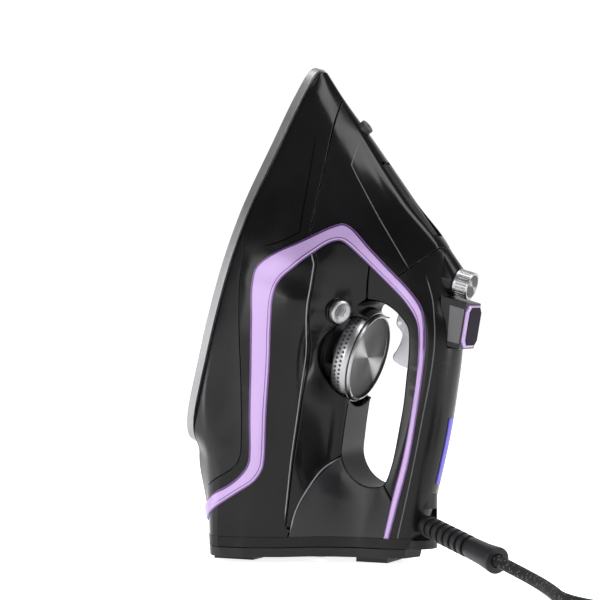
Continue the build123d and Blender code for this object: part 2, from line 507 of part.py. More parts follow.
# ---------------------------------------------------------------- screws (heel and handle), one node
scr = []
for y in (-7.0, 7.0):
    scr.append(stance.inverse() * (Location((20, y * 2, HEEL_Z0 - 1.2)) * Solid.make_cylinder(3.4, 1.2)))
put("heel_screws", Compound(children=scr), keep=0)

print("PIVOTS")


def pivot(n, p, d=None):
    print(" ", n, [round((p[0] + DX) / 1000, 5), round(p[1] / 1000, 5), round(p[2] / 1000, 5)], [round(v, 5) for v in d] if d else "")


pivot("dial", world(DIAL_S, 0, 75), wdir(0, 0, 1))
pivot("knob", world(KNOB_S, 0, 128), wdir(0, 0, 1))
pivot("button", world(*on_button(0)), wdir(0, bs, bc))
pivot("trigger", world(trig_piv[0], 0, trig_piv[1]))
pivot("door", world(ax[0], 0, ax[1]))
pivot("ball", BALL)
pivot("sole", world(100, 0, 0), wdir(0, 0, -1))

CORD = {"cord_lead", "cord_coil", "cord_tail", "plug_body", "plug_pins", "plug_relief", "cord_guard"}
lo = [min(getattr(v.bounding_box().min, a) for k, v in NODES.items() if k not in CORD) for a in "XYZ"]
hi = [max(getattr(v.bounding_box().max, a) for k, v in NODES.items() if k not in CORD) for a in "XYZ"]
print("bounds without cord", lo, hi, "centre", [(a + b) / 2 for a, b in zip(lo, hi)], "count", len(NODES))
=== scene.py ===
import bpy
import json
import math
import random
import numpy as np
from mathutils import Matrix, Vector
from mathutils.geometry import delaunay_2d_cdt


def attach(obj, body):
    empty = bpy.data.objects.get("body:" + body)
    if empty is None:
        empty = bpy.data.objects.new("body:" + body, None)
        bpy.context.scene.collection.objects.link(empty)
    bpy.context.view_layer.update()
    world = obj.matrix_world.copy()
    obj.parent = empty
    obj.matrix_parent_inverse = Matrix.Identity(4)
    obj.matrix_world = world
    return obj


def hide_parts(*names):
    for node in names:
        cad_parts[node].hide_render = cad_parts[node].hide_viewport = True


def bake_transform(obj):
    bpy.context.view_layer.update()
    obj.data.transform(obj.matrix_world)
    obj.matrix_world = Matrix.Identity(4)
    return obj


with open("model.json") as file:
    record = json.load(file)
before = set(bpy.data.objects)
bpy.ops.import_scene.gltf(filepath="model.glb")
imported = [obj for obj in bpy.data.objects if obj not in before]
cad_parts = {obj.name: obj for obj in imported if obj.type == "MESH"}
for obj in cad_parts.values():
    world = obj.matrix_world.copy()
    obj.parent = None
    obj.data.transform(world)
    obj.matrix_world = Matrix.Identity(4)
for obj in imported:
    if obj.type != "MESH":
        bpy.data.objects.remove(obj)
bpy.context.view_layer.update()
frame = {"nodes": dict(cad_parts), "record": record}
NODE = frame["nodes"]

# ------------------------------------------------------------------ shared frame of the object
TILT = math.radians(16.7)
ST, CT = math.sin(TILT), math.cos(TILT)
DX = -28.2
X0, Z0 = -56.8 + DX, 70.1
ES = np.array([ST, 0, CT])
EY = np.array([0, -1.0, 0])
EH = np.array([CT, 0, -ST])
ORG = np.array([X0, 0, Z0])


def wpt(p):
    """lying frame (s, y, h) in mm -> row frame in mm"""
    p = np.asarray(p, float)
    return ORG + p[..., 0:1] * ES + p[..., 1:2] * EY + p[..., 2:3] * EH


def wvec(p):
    p = np.asarray(p, float)
    return p[..., 0:1] * ES + p[..., 1:2] * EY + p[..., 2:3] * EH


# ------------------------------------------------------------------ camera
AZ = math.radians(25.0)
cam_d = bpy.data.cameras.new("cam")
cam = bpy.data.objects.new("cam", cam_d)
bpy.context.scene.collection.objects.link(cam)
bpy.context.scene.camera = cam
tgt = Vector((DX, 0, 155.6)) / 1000
cam.location = tgt + Vector((math.sin(AZ), -math.cos(AZ), 0)) * 1.3
cam.rotation_euler = (math.pi / 2, 0, AZ)
cam_d.sensor_width = 36.0
cam_d.lens = 128.31
cam_d.clip_start = 0.05
cam_d.dof.use_dof = False

# ------------------------------------------------------------------ materials


def nodes_of(name):
    m = bpy.data.materials.new(name)
    m.use_nodes = True
    nt = m.node_tree
    nt.nodes.clear()
    out = nt.nodes.new("ShaderNodeOutputMaterial")
    b = nt.nodes.new("ShaderNodeBsdfPrincipled")
    nt.links.new(b.outputs["BSDF"], out.inputs["Surface"])
    return m, nt, b


def add_noise(nt, scale, detail=3.0, rough=0.5, coord="Object", stretch=None):
    tc = nt.nodes.new("ShaderNodeTexCoord")
    n = nt.nodes.new("ShaderNodeTexNoise")
    n.inputs["Scale"].default_value = scale
    n.inputs["Detail"].default_value = detail
    n.inputs["Roughness"].default_value = rough
    if stretch:
        mp = nt.nodes.new("ShaderNodeMapping")
        mp.inputs["Scale"].default_value = stretch
        nt.links.new(tc.outputs[coord], mp.inputs["Vector"])
        nt.links.new(mp.outputs["Vector"], n.inputs["Vector"])
    else:
        nt.links.new(tc.outputs[coord], n.inputs["Vector"])
    return n


def ramp(nt, src, a, b, lo=0.3, hi=0.7):
    r = nt.nodes.new("ShaderNodeMapRange")
    r.inputs["From Min"].default_value = lo
    r.inputs["From Max"].default_value = hi
    r.inputs["To Min"].default_value = a
    r.inputs["To Max"].default_value = b
    nt.links.new(src, r.inputs["Value"])
    return r.outputs["Result"]


def mix_col(nt, fac, c1, c2):
    m = nt.nodes.new("ShaderNodeMix")
    m.data_type = "RGBA"
    m.inputs[6].default_value = (*c1, 1)
    m.inputs[7].default_value = (*c2, 1)
    nt.links.new(fac, m.inputs[0])
    return m.outputs[2]


def plastic(name, c, rough, coat=0.0, fine=0.02, bump=0.02, bscale=900, spec=0.5, r_var=0.05, metal=0.0, c2=None, sheen=0.0):
    m, nt, b = nodes_of(name)
    n1 = add_noise(nt, 22.0, 4.0)
    n2 = add_noise(nt, bscale, 2.0)
    c2 = c2 or tuple(min(1, v * 1.35 + 0.003) for v in c)
    nt.links.new(mix_col(nt, ramp(nt, n1.outputs["Fac"], 0, 1), c, c2), b.inputs["Base Color"])
    nt.links.new(ramp(nt, n1.outputs["Fac"], max(rough - r_var, 0.02), rough + r_var), b.inputs["Roughness"])
    b.inputs["Metallic"].default_value = metal
    b.inputs["Specular IOR Level"].default_value = spec
    b.inputs["Coat Weight"].default_value = coat
    b.inputs["Coat Roughness"].default_value = 0.04
    if bump:
        bp = nt.nodes.new("ShaderNodeBump")
        bp.inputs["Strength"].default_value = bump
        bp.inputs["Distance"].default_value = 0.0004
        nt.links.new(n2.outputs["Fac"], bp.inputs["Height"])
        nt.links.new(bp.outputs["Normal"], b.inputs["Normal"])
    return m


M = {}
M["black_gloss"] = plastic("black_gloss", (0.0035, 0.0035, 0.004), 0.16, coat=0.0, bump=0.015, bscale=700, r_var=0.03, spec=0.2)
M["black_panel"] = plastic("black_panel", (0.006, 0.0055, 0.0065), 0.26, spec=0.25, bump=0.05, bscale=1500, r_var=0.05)
M["black_satin"] = plastic("black_satin", (0.008, 0.008, 0.009), 0.42, bump=0.08, bscale=1800, r_var=0.06, spec=0.25)
M["handle_black"] = plastic("handle_black", (0.004, 0.004, 0.0045), 0.26, bump=0.03, bscale=1600, r_var=0.04, spec=0.2)
M["dark_grey"] = plastic("dark_grey", (0.028, 0.028, 0.031), 0.4, bump=0.06, bscale=1700, spec=0.25)
M["wall_black"] = plastic("wall_black", (0.004, 0.004, 0.0045), 0.45, bump=0.05, bscale=1500, spec=0.2)
M["band"] = plastic("band", (0.003, 0.003, 0.0035), 0.3, bump=0.04, bscale=1500, spec=0.2)
# pit: dark grey, painted shade in the dial rim's pits, also the pointer's print
M["pit"] = plastic("pit", (0.015, 0.015, 0.017), 0.5)
M["groove"] = plastic("groove", (0.001, 0.001, 0.001), 0.8, bump=0.02, spec=0.0)
M["plate_grey"] = plastic("plate_grey", (0.095, 0.095, 0.1), 0.42, bump=0.05, bscale=1500, spec=0.3)
# light grey for lines that are painted highlights on creases and edges
M["painted_highlight_grey"] = plastic("painted_highlight_grey", (0.17, 0.17, 0.18), 0.36, bump=0.05, bscale=1500, spec=0.25)
# fairing: a satin finish, and a lighter colour that is painted light for the flared surface catching light
M["fairing"] = plastic("fairing", (0.013, 0.013, 0.0145), 0.34, bump=0.05, bscale=1700, r_var=0.04, spec=0.3)
M["mid_grey"] = plastic("mid_grey", (0.075, 0.075, 0.082), 0.36, bump=0.05, bscale=1500, spec=0.25)
M["light_silver"] = plastic("light_silver", (0.42, 0.42, 0.45), 0.26, metal=0.35, bump=0.02, bscale=1800)
M["rubber_black"] = plastic("rubber_black", (0.008, 0.008, 0.009), 0.42, bump=0.12, bscale=1300, r_var=0.07, spec=0.3)
M["white_plastic"] = plastic("white_plastic", (0.7, 0.7, 0.67), 0.45, bump=0.04)
M["board"] = plastic("board", (0.02, 0.14, 0.05), 0.5, bump=0.1)
M["screen"] = plastic("screen", (0.008, 0.006, 0.012), 0.12, coat=0.0, bump=0.01, r_var=0.02, spec=0.15)
for n_ in M["screen"].node_tree.nodes:
    if n_.type == "BSDF_PRINCIPLED":
        n_.inputs["IOR"].default_value = 1.12


def flake(name, c1, c2, rough, metal=0.85, fs=5200, coat=0.4):
    m, nt, b = nodes_of(name)
    n1 = add_noise(nt, 14.0, 3.0)
    v = nt.nodes.new("ShaderNodeTexVoronoi")
    v.inputs["Scale"].default_value = fs
    tc = nt.nodes.new("ShaderNodeTexCoord")
    nt.links.new(tc.outputs["Object"], v.inputs["Vector"])
    nt.links.new(mix_col(nt, ramp(nt, n1.outputs["Fac"], 0, 1), c1, c2), b.inputs["Base Color"])
    nt.links.new(ramp(nt, n1.outputs["Fac"], rough - 0.04, rough + 0.05), b.inputs["Roughness"])
    b.inputs["Metallic"].default_value = metal
    b.inputs["Coat Weight"].default_value = coat
    b.inputs["Coat Roughness"].default_value = 0.08
    bp = nt.nodes.new("ShaderNodeBump")
    bp.inputs["Strength"].default_value = 0.12
    bp.inputs["Distance"].default_value = 0.0001
    nt.links.new(v.outputs["Distance"], bp.inputs["Height"])
    nt.links.new(bp.outputs["Normal"], b.inputs["Normal"])
    return m


M["lilac"] = flake("lilac", (0.43, 0.30, 0.55), (0.47, 0.335, 0.59), 0.42, metal=0.4, coat=0.1)
M["violet_light"] = flake("violet_light", (0.075, 0.05, 0.42), (0.10, 0.07, 0.5), 0.35, metal=0.0, coat=0.0)
M["silver"] = flake("silver", (0.36, 0.36, 0.37), (0.45, 0.45, 0.46), 0.34, metal=1.0, coat=0.0)
M["sole_metal"] = flake("sole_metal", (0.30, 0.30, 0.31), (0.37, 0.37, 0.38), 0.42, metal=0.9, coat=0.0)
M["steel"] = flake("steel", (0.42, 0.42, 0.42), (0.52, 0.52, 0.52), 0.3, metal=1.0, coat=0.0)
M["cast_alu"] = flake("cast_alu", (0.42, 0.42, 0.43), (0.52, 0.52, 0.53), 0.5, metal=1.0, coat=0.0, fs=1500)
M["nickel"] = flake("nickel", (0.62, 0.60, 0.54), (0.70, 0.68, 0.62), 0.22, metal=1.0, coat=0.0)


def spun(name, c1, c2, centre, axis, ring_scale=520.0, streak=0.35):
    """turned metal: fine circles about the axis and some anisotropy; the bright conic bands are a painted highlight
    mixed into the colour
    """
    m, nt, b = nodes_of(name)
    g = nt.nodes.new("ShaderNodeNewGeometry")
    sub = nt.nodes.new("ShaderNodeVectorMath")
    sub.operation = "SUBTRACT"
    nt.links.new(g.outputs["Position"], sub.inputs[0])
    sub.inputs[1].default_value = centre
    cr = nt.nodes.new("ShaderNodeVectorMath")
    cr.operation = "CROSS_PRODUCT"
    nt.links.new(sub.outputs[0], cr.inputs[0])
    cr.inputs[1].default_value = axis
    ln = nt.nodes.new("ShaderNodeVectorMath")
    ln.operation = "LENGTH"
    nt.links.new(cr.outputs[0], ln.inputs[0])
    n = nt.nodes.new("ShaderNodeTexNoise")
    n.noise_dimensions = "1D"
    mu = nt.nodes.new("ShaderNodeMath")
    mu.operation = "MULTIPLY"
    mu.inputs[1].default_value = ring_scale * 10
    nt.links.new(ln.outputs["Value"], mu.inputs[0])
    nt.links.new(mu.outputs[0], n.inputs["W"])
    n.inputs["Scale"].default_value = 1.0
    n.inputs["Detail"].default_value = 2.0
    ax_ = np.asarray(axis, float)
    e1 = np.cross(ax_, (0, 1.0, 0))
    e1 /= np.linalg.norm(e1)
    e2 = np.cross(ax_, e1)
    dots = []
    for e_ in (e1, e2):
        dd = nt.nodes.new("ShaderNodeVectorMath")
        dd.operation = "DOT_PRODUCT"
        nt.links.new(sub.outputs[0], dd.inputs[0])
        dd.inputs[1].default_value = tuple(e_)
        dots.append(dd.outputs["Value"])
    at = nt.nodes.new("ShaderNodeMath")
    at.operation = "ARCTAN2"
    nt.links.new(dots[0], at.inputs[0])
    nt.links.new(dots[1], at.inputs[1])
    sh = nt.nodes.new("ShaderNodeMath")
    sh.operation = "SUBTRACT"
    nt.links.new(at.outputs[0], sh.inputs[0])
    sh.inputs[1].default_value = streak
    m2 = nt.nodes.new("ShaderNodeMath")
    m2.operation = "MULTIPLY"
    m2.inputs[1].default_value = 2.0
    nt.links.new(sh.outputs[0], m2.inputs[0])
    cs = nt.nodes.new("ShaderNodeMath")
    cs.operation = "COSINE"
    nt.links.new(m2.outputs[0], cs.inputs[0])
    # painted highlight: two bright bands by angle about the axis, mixed into the base colour
    painted_highlight_mask = ramp(nt, cs.outputs[0], 0, 1, 0.72, 1.0)
    base = mix_col(nt, ramp(nt, n.outputs["Fac"], 0, 1), c1, c2)
    mx = nt.nodes.new("ShaderNodeMix")
    mx.data_type = "RGBA"
    nt.links.new(painted_highlight_mask, mx.inputs[0])
    nt.links.new(base, mx.inputs[6])
    mx.inputs[7].default_value = (0.36, 0.36, 0.365, 1)
    nt.links.new(mx.outputs[2], b.inputs["Base Color"])
    nt.links.new(ramp(nt, n.outputs["Fac"], 0.32, 0.44), b.inputs["Roughness"])
    b.inputs["Metallic"].default_value = 0.85
    b.inputs["Anisotropic"].default_value = 0.6
    nrm = nt.nodes.new("ShaderNodeVectorMath")
    nrm.operation = "NORMALIZE"
    nt.links.new(cr.outputs[0], nrm.inputs[0])
    nt.links.new(nrm.outputs[0], b.inputs["Tangent"])
    bp = nt.nodes.new("ShaderNodeBump")
    bp.inputs["Strength"].default_value = 0.12
    bp.inputs["Distance"].default_value = 0.00015
    nt.links.new(n.outputs["Fac"], bp.inputs["Height"])
    nt.links.new(bp.outputs["Normal"], b.inputs["Normal"])
    return m


def braid_mat():
    m, nt, b = nodes_of("braid")
    tc = nt.nodes.new("ShaderNodeTexCoord")
    mp = nt.nodes.new("ShaderNodeMapping")
    nt.links.new(tc.outputs["UV"], mp.inputs["Vector"])
    # UV: u along the cord in metres * 1000, v round the cord 0..1
    sep = nt.nodes.new("ShaderNodeSeparateXYZ")
    nt.links.new(mp.outputs["Vector"], sep.inputs[0])

    def math_(op, a, b_, c=None):
        n = nt.nodes.new("ShaderNodeMath")
        n.operation = op
        for i, v in enumerate((a, b_, c)):
            if v is None:
                continue
            if isinstance(v, (int, float)):
                n.inputs[i].default_value = v
            else:
                nt.links.new(v, n.inputs[i])
        return n.outputs[0]
    U, V = sep.outputs[0], sep.outputs[1]
    k1 = 0.42      # strands per mm along
    k2 = 6.0       # strands round
    a = math_("ADD", math_("MULTIPLY", U, k1), math_("MULTIPLY", V, k2))
    c = math_("SUBTRACT", math_("MULTIPLY", U, k1), math_("MULTIPLY", V, k2))
    sa = math_("SINE", math_("MULTIPLY", a, 2 * math.pi), 0)
    sc = math_("SINE", math_("MULTIPLY", c, 2 * math.pi), 0)
    hgt = math_("MULTIPLY", math_("MAXIMUM", math_("ABSOLUTE", sa, 0), math_("ABSOLUTE", sc, 0)), 1.0)
    fa = math_("FLOOR", math_("MULTIPLY", a, 2.0), 0)
    fc = math_("FLOOR", math_("MULTIPLY", c, 2.0), 0)
    comb = nt.nodes.new("ShaderNodeCombineXYZ")
    nt.links.new(fa, comb.inputs[0])
    nt.links.new(fc, comb.inputs[1])
    wn = nt.nodes.new("ShaderNodeTexWhiteNoise")
    wn.noise_dimensions = "2D"
    nt.links.new(comb.outputs[0], wn.inputs["Vector"])
    fleck = math_("GREATER_THAN", wn.outputs["Value"], 0.93)
    nt.links.new(mix_col(nt, fleck, (0.0045, 0.0045, 0.005), (0.12, 0.12, 0.13)), b.inputs["Base Color"])
    b.inputs["Roughness"].default_value = 0.72
    b.inputs["Sheen Weight"].default_value = 0.04
    b.inputs["Specular IOR Level"].default_value = 0.2
    bp = nt.nodes.new("ShaderNodeBump")
    bp.inputs["Strength"].default_value = 0.9
    bp.inputs["Distance"].default_value = 0.0005
    nt.links.new(hgt, bp.inputs["Height"])
    nt.links.new(bp.outputs["Normal"], b.inputs["Normal"])
    return m


M["braid"] = braid_mat()


def setmat(o, m):
    o.data.materials.clear()
    o.data.materials.append(m if not isinstance(m, str) else M[m])


# ------------------------------------------------------------------ cord first
C = (278.0 + DX, -120.0)


def P(x, y, z):
    return (x + DX, y, z)


g_az, g_drop = math.radians(-36.0), math.radians(12.0)
gdir = np.array([math.cos(g_az) * math.cos(g_drop), math.sin(g_az), -math.cos(g_az) * math.sin(g_drop)])
ball = np.array([76.0 + DX, 0, 25.0])
c0 = ball + gdir * 80.0
c1 = c0 + gdir * 30.0
ctrl = [tuple(c0), tuple(c1), P(193, -103, 3.6), P(212, -141, 3.6), P(240, -162, 3.6)]
rng = random.Random(4)
a0 = math.radians(-98.0)
NT = 14
levels = [(42.3, 3.6), (34.9, 3.6), (34.9, 10.9), (42.3, 10.9), (42.3, 18.2), (34.9, 18.2), (41.9, 25.5)]
for t, (R, z) in enumerate(levels):
    for k in range(NT):
        a = a0 + 2 * math.pi * (t + k / NT)
        f = max(0.0, (k - (NT - 3)) / 3.0)          # moves to the next turn over the last fifth
        R2, z2 = levels[t + 1] if t + 1 < len(levels) else (R, z)
        jr = 0.0 if t == 0 and k < 2 else rng.uniform(-0.25, 0.25)
        r_, z_ = R + (R2 - R) * f + jr, z + (z2 - z) * f + (rng.uniform(0, 0.25) if z > 4 else 0)
        ctrl.append((C[0] + r_ * math.cos(a), C[1] + r_ * math.sin(a), z_))
# leaves the top turn, comes down outside the coil and runs to the plug
aend = a0 + 2 * math.pi * len(levels)
for da, r_, z_ in ((0.0, 42.4, 25.6), (0.42, 45.0, 24.5), (0.85, 50.5, 18.0), (1.25, 53.0, 9.5), (1.6, 54.0, 4.4)):
    a = aend + da
    ctrl.append((C[0] + r_ * math.cos(a), C[1] + r_ * math.sin(a), z_))
ctrl += [P(331, -84, 3.6), P(324, -56, 3.6), P(308, -22, 3.6)]


def nurbs_points(cp, res=12):
    cu = bpy.data.curves.new("tmp", "CURVE")
    cu.dimensions = "3D"
    cu.resolution_u = res
    sp = cu.splines.new("NURBS")
    sp.points.add(len(cp) - 1)
    for p, q in zip(sp.points, cp):
        p.co = (q[0] / 1000, q[1] / 1000, q[2] / 1000, 1)
    sp.order_u = 3
    sp.use_endpoint_u = True
    ob = bpy.data.objects.new("tmp", cu)
    bpy.context.scene.collection.objects.link(ob)
    bpy.context.view_layer.update()
    me = bpy.data.meshes.new_from_object(ob)
    pts = np.array([v.co[:] for v in me.vertices]) * 1000
    bpy.data.objects.remove(ob)
    bpy.data.meshes.remove(me)
    return pts


line = nurbs_points(ctrl)
keep = [0]
for i in range(1, len(line)):
    if np.linalg.norm(line[i] - line[keep[-1]]) > 0.25:
        keep.append(i)
line = line[keep]


def tube_mesh(name, pts, r, sides=20, uv_unit=True, r_of=None):
    n = len(pts)
    T = np.gradient(pts, axis=0)
    T /= np.linalg.norm(T, axis=1)[:, None]
    N = np.zeros_like(T)
    up = np.array([0, 0, 1.0])
    v = up - T[0] * up.dot(T[0])
    N[0] = v / np.linalg.norm(v)
    for i in range(1, n):
        v = N[i - 1] - T[i] * N[i - 1].dot(T[i])
        N[i] = v / np.linalg.norm(v)
    B = np.cross(T, N)
    L = np.concatenate([[0], np.cumsum(np.linalg.norm(np.diff(pts, axis=0), axis=1))])
    verts, faces, uvs = [], [], []
    for i in range(n):
        rr = r_of(L[i]) if r_of else r
        for k in range(sides):
            a = 2 * math.pi * k / sides
            verts.append(pts[i] + rr * (math.cos(a) * N[i] + math.sin(a) * B[i]))
    for i in range(n - 1):
        for k in range(sides):
            k2 = (k + 1) % sides
            faces.append((i * sides + k, i * sides + k2, (i + 1) * sides + k2, (i + 1) * sides + k))
            uvs += [(L[i], k / sides), (L[i], (k + 1) / sides), (L[i + 1], (k + 1) / sides), (L[i + 1], k / sides)]
    nb = len(verts)
    verts += [pts[0], pts[-1]]
    for k in range(sides):
        k2 = (k + 1) % sides
        faces.append((nb, k2, k))
        uvs += [(L[0], 0.5), (L[0], (k + 1) / sides), (L[0], k / sides)]
        faces.append((nb + 1, (n - 1) * sides + k, (n - 1) * sides + k2))
        uvs += [(L[-1], 0.5), (L[-1], k / sides), (L[-1], (k + 1) / sides)]
    return make_mesh(name, np.array(verts), faces, uvs=uvs)


def make_mesh(name, verts, faces, smooth=True, uvs=None, normals=None, mat=None):
    me = bpy.data.meshes.new(name)
    me.from_pydata([tuple(v) for v in (np.asarray(verts) / 1000)], [], [tuple(int(i) for i in f) for f in faces])
    if uvs is not None:
        ul = me.uv_layers.new(name="UVMap")
        flat = np.array(uvs, float).reshape(-1)
        ul.data.foreach_set("uv", flat)
    me.validate(verbose=False)
    if smooth:
        me.polygons.foreach_set("use_smooth", [True] * len(me.polygons))
    if normals is not None:
        me.normals_split_custom_set_from_vertices([tuple(v) for v in normals])
    me.update()
    o = bpy.data.objects.new(name, me)
    bpy.context.scene.collection.objects.link(o)
    if mat is not None:
        setmat(o, mat)
    return o


cord = tube_mesh("flex", line, 3.5)
setmat(cord, "braid")

# ------------------------------------------------------------------ the body surface, as in the CAD sections
SEC = [
    (-80, [(38, 30), (45, 45), (51, 47), (56, 47.5), (66, 46.5), (83, 36.5), (96, 27.5), (108, 22), (119, 18.8), (132, 17.5), (144, 13.5), (149.5, 0)]),
    (-35, [(19.5, 30.5), (30, 44.5), (34, 47), (38, 48), (51, 47.5), (76, 38), (90, 27.5), (104, 21.5), (118, 18.3), (131.5, 17.5), (144, 13.5), (149, 0)]),
    (-5, [(6.5, 33), (21.5, 47), (27, 49), (33, 49.6), (47.5, 48.6), (71.5, 39), (84, 27.5), (98, 20), (116, 16.8), (130, 17.8), (143.5, 13), (148, 0)]),
    (10, [(5, 45.5), (17, 50), (24, 50.6), (30, 50.6), (46.5, 49.3), (68, 40.5), (80, 27.5), (92, 17.5), (115, 15.5), (129.5, 18.2), (143, 13), (147.5, 0)]),
    (45, [(5, 51.5), (9.5, 52.3), (20, 52), (33, 50.6), (46, 48.2), (60, 42), (72, 29), (84, 17), (114, 14.5), (128.5, 18.6), (141, 13), (145.6, 0)]),
    (80, [(5, 54.2), (9, 54.5), (18, 54), (26, 53), (39, 50.3), (56, 43.5), (62.5, 30), (79, 17), (110, 15), (126, 18.8), (137, 13), (141.3, 0)]),
    (103, [(5, 54.6), (9, 54.8), (16, 54.5), (23, 53.7), (36, 51.2), (54, 46), (66.5, 30), (77, 17), (101, 16), (121, 19.2), (133, 13), (137.3, 0)]),
    (113, [(5, 54), (9, 54), (15, 53.8), (21, 53.2), (37, 50), (53, 44.5), (66, 31), (78, 21), (95, 18), (116.5, 19), (130, 12.5), (134.3, 0)]),
    (127, [(5, 52.2), (9, 52.3), (14, 52), (28, 50.5), (42, 47.5), (52.5, 42.5), (64, 33), (78, 25), (93, 20.8), (107, 17.8), (121.5, 11), (126, 0)]),
    (141, [(5, 49.2), (9, 49.3), (14, 49.1), (28, 47.6), (42, 43.8), (53, 38.6), (64, 32), (76, 26.3), (88, 21.8), (103, 16.5), (117, 9.5), (121.3, 0)]),
    (151, [(5, 46.2), (9, 46.3), (13, 46.2), (26, 44.8), (38, 41.3), (50, 36.6), (61, 31), (73, 25.8), (85, 20.6), (98, 15.5), (113.6, 9), (117, 0)]),
    (176, [(5, 34.3), (9, 34.5), (12, 34.4), (20, 33.7), (29, 32.1), (38, 29.8), (47, 26.7), (56, 23), (64, 18.8), (72, 14.5), (81, 8.8), (83.8, 0)]),
    (205, [(5, 22.2), (8, 22.2), (11, 21.9), (15, 21.2), (19, 20.1), (23, 18.7), (28, 16.5), (32, 14.2), (36, 11.8), (40, 9.2), (44.3, 6), (46.3, 0)]),
    (221, [(5, 14.9), (6.5, 14.8), (8, 14.4), (10, 13.6), (12, 12.6), (14, 11.4), (16, 10), (18, 8.4), (19.8, 6.8), (21.6, 5), (23.6, 2.8), (24.5, 0)]),
    (235.2, [(5, 4), (5.2, 4), (5.4, 3.9), (5.6, 3.8), (5.8, 3.6), (6.0, 3.4), (6.2, 3.1), (6.4, 2.8), (6.6, 2.4), (6.8, 1.8), (7, 1.0), (7.1, 0)]),
]
SS = np.array([a[0] for a in SEC], float)
SP = np.array([a[1] for a in SEC], float)


def pchip_slopes(x, y):
    x = np.asarray(x, float)
    h = np.diff(x)
    h = h.reshape((-1,) + (1,) * (y.ndim - 1))
    d = np.diff(y, axis=0) / h
    m = np.zeros_like(y)
    w1, w2 = 2 * h[1:] + h[:-1], h[1:] + 2 * h[:-1]
    same = d[:-1] * d[1:] > 0
    with np.errstate(divide="ignore", invalid="ignore"):
        hm = (w1 + w2) / (w1 / np.where(same, d[:-1], 1) + w2 / np.where(same, d[1:], 1))
    m[1:-1] = np.where(same, hm, 0)
    m[0], m[-1] = d[0], d[-1]
    return m


def hermite(t, y0, y1, m0, m1, h):
    t2, t3 = t * t, t * t * t
    return (2 * t3 - 3 * t2 + 1) * y0 + (t3 - 2 * t2 + t) * h * m0 + (-2 * t3 + 3 * t2) * y1 + (t3 - t2) * h * m1


SM = pchip_slopes(SS, SP)


def rows(s):
    s = np.clip(np.asarray(s, float), SS[0], SS[-1])
    i = np.clip(np.searchsorted(SS, s) - 1, 0, len(SS) - 2)
    hh = (SS[i + 1] - SS[i])
    t = ((s - SS[i]) / hh)[:, None, None]
    hh = hh[:, None, None]
    return hermite(t, SP[i], SP[i + 1], SM[i], SM[i + 1], hh)     # (n, 12, 2)


def row_slopes(r):
    d = np.diff(r, axis=1)
    m = np.zeros_like(r)
    same = d[:, :-1] * d[:, 1:] > 0
    hm = 2 * d[:, :-1] * d[:, 1:] / np.where(np.abs(d[:, :-1] + d[:, 1:]) < 1e-9, 1, d[:, :-1] + d[:, 1:])
    m[:, 1:-1] = np.where(same, hm, 0)
    m[:, 0], m[:, -1] = d[:, 0], d[:, -1]
    m[:, -1, 0] = 0.0                      # level at the crest
    m[:, -1, 1] = d[:, -1, 1] * 1.3
    return m


def surf(s, tau):
    """points on the body surface: s, tau arrays -> (n,3) lying frame, near side"""
    s = np.asarray(s, float)
    tau = np.clip(np.asarray(tau, float), 0, 11)
    r = rows(s)
    m = row_slopes(r)
    k = np.clip(np.floor(tau).astype(int), 0, 10)
    t = (tau - k)[:, None]
    j = np.arange(len(s))
    v = hermite(t, r[j, k], r[j, k + 1], m[j, k], m[j, k + 1], 1.0)
    return np.stack([s, np.maximum(v[:, 1], 0), v[:, 0]], 1)


def tau_of(s, h):
    s, h = np.asarray(s, float), np.asarray(h, float)
    lo, hi = np.zeros(len(s)), np.full(len(s), 11.0)
    for _ in range(26):
        mid = (lo + hi) / 2
        v = surf(s, mid)[:, 2]
        up = v < h
        lo = np.where(up, mid, lo)
        hi = np.where(up, hi, mid)
    return (lo + hi) / 2


def surf_n(s, tau):
    """outward normals (near side), lying frame"""
    e1, e2 = 0.25, 0.02
    t0, t1 = np.clip(tau - e2, 0, 11), np.clip(tau + e2, 0, 11)
    ds = surf(np.clip(s + e1, SS[0], SS[-1]), tau) - surf(np.clip(s - e1, SS[0], SS[-1]), tau)
    dt = surf(s, t1) - surf(s, t0)
    n = np.cross(dt, ds)
    n /= np.maximum(np.linalg.norm(n, axis=1), 1e-9)[:, None]
    flip = n[:, 1] < -1e-6
    n[flip] *= -1
    top = tau > 10.995
    n[top, 1] = 0
    n /= np.maximum(np.linalg.norm(n, axis=1), 1e-9)[:, None]
    return n


def on_surf(sh, off=0.0):
    """(s, h) list -> points on the near surface raised by off along the normal"""
    sh = np.asarray(sh, float)
    t = tau_of(sh[:, 0], sh[:, 1])
    p = surf(sh[:, 0], t)
    n = surf_n(sh[:, 0], t)
    return p + n * (off if np.isscalar(off) else np.asarray(off)[:, None]), n


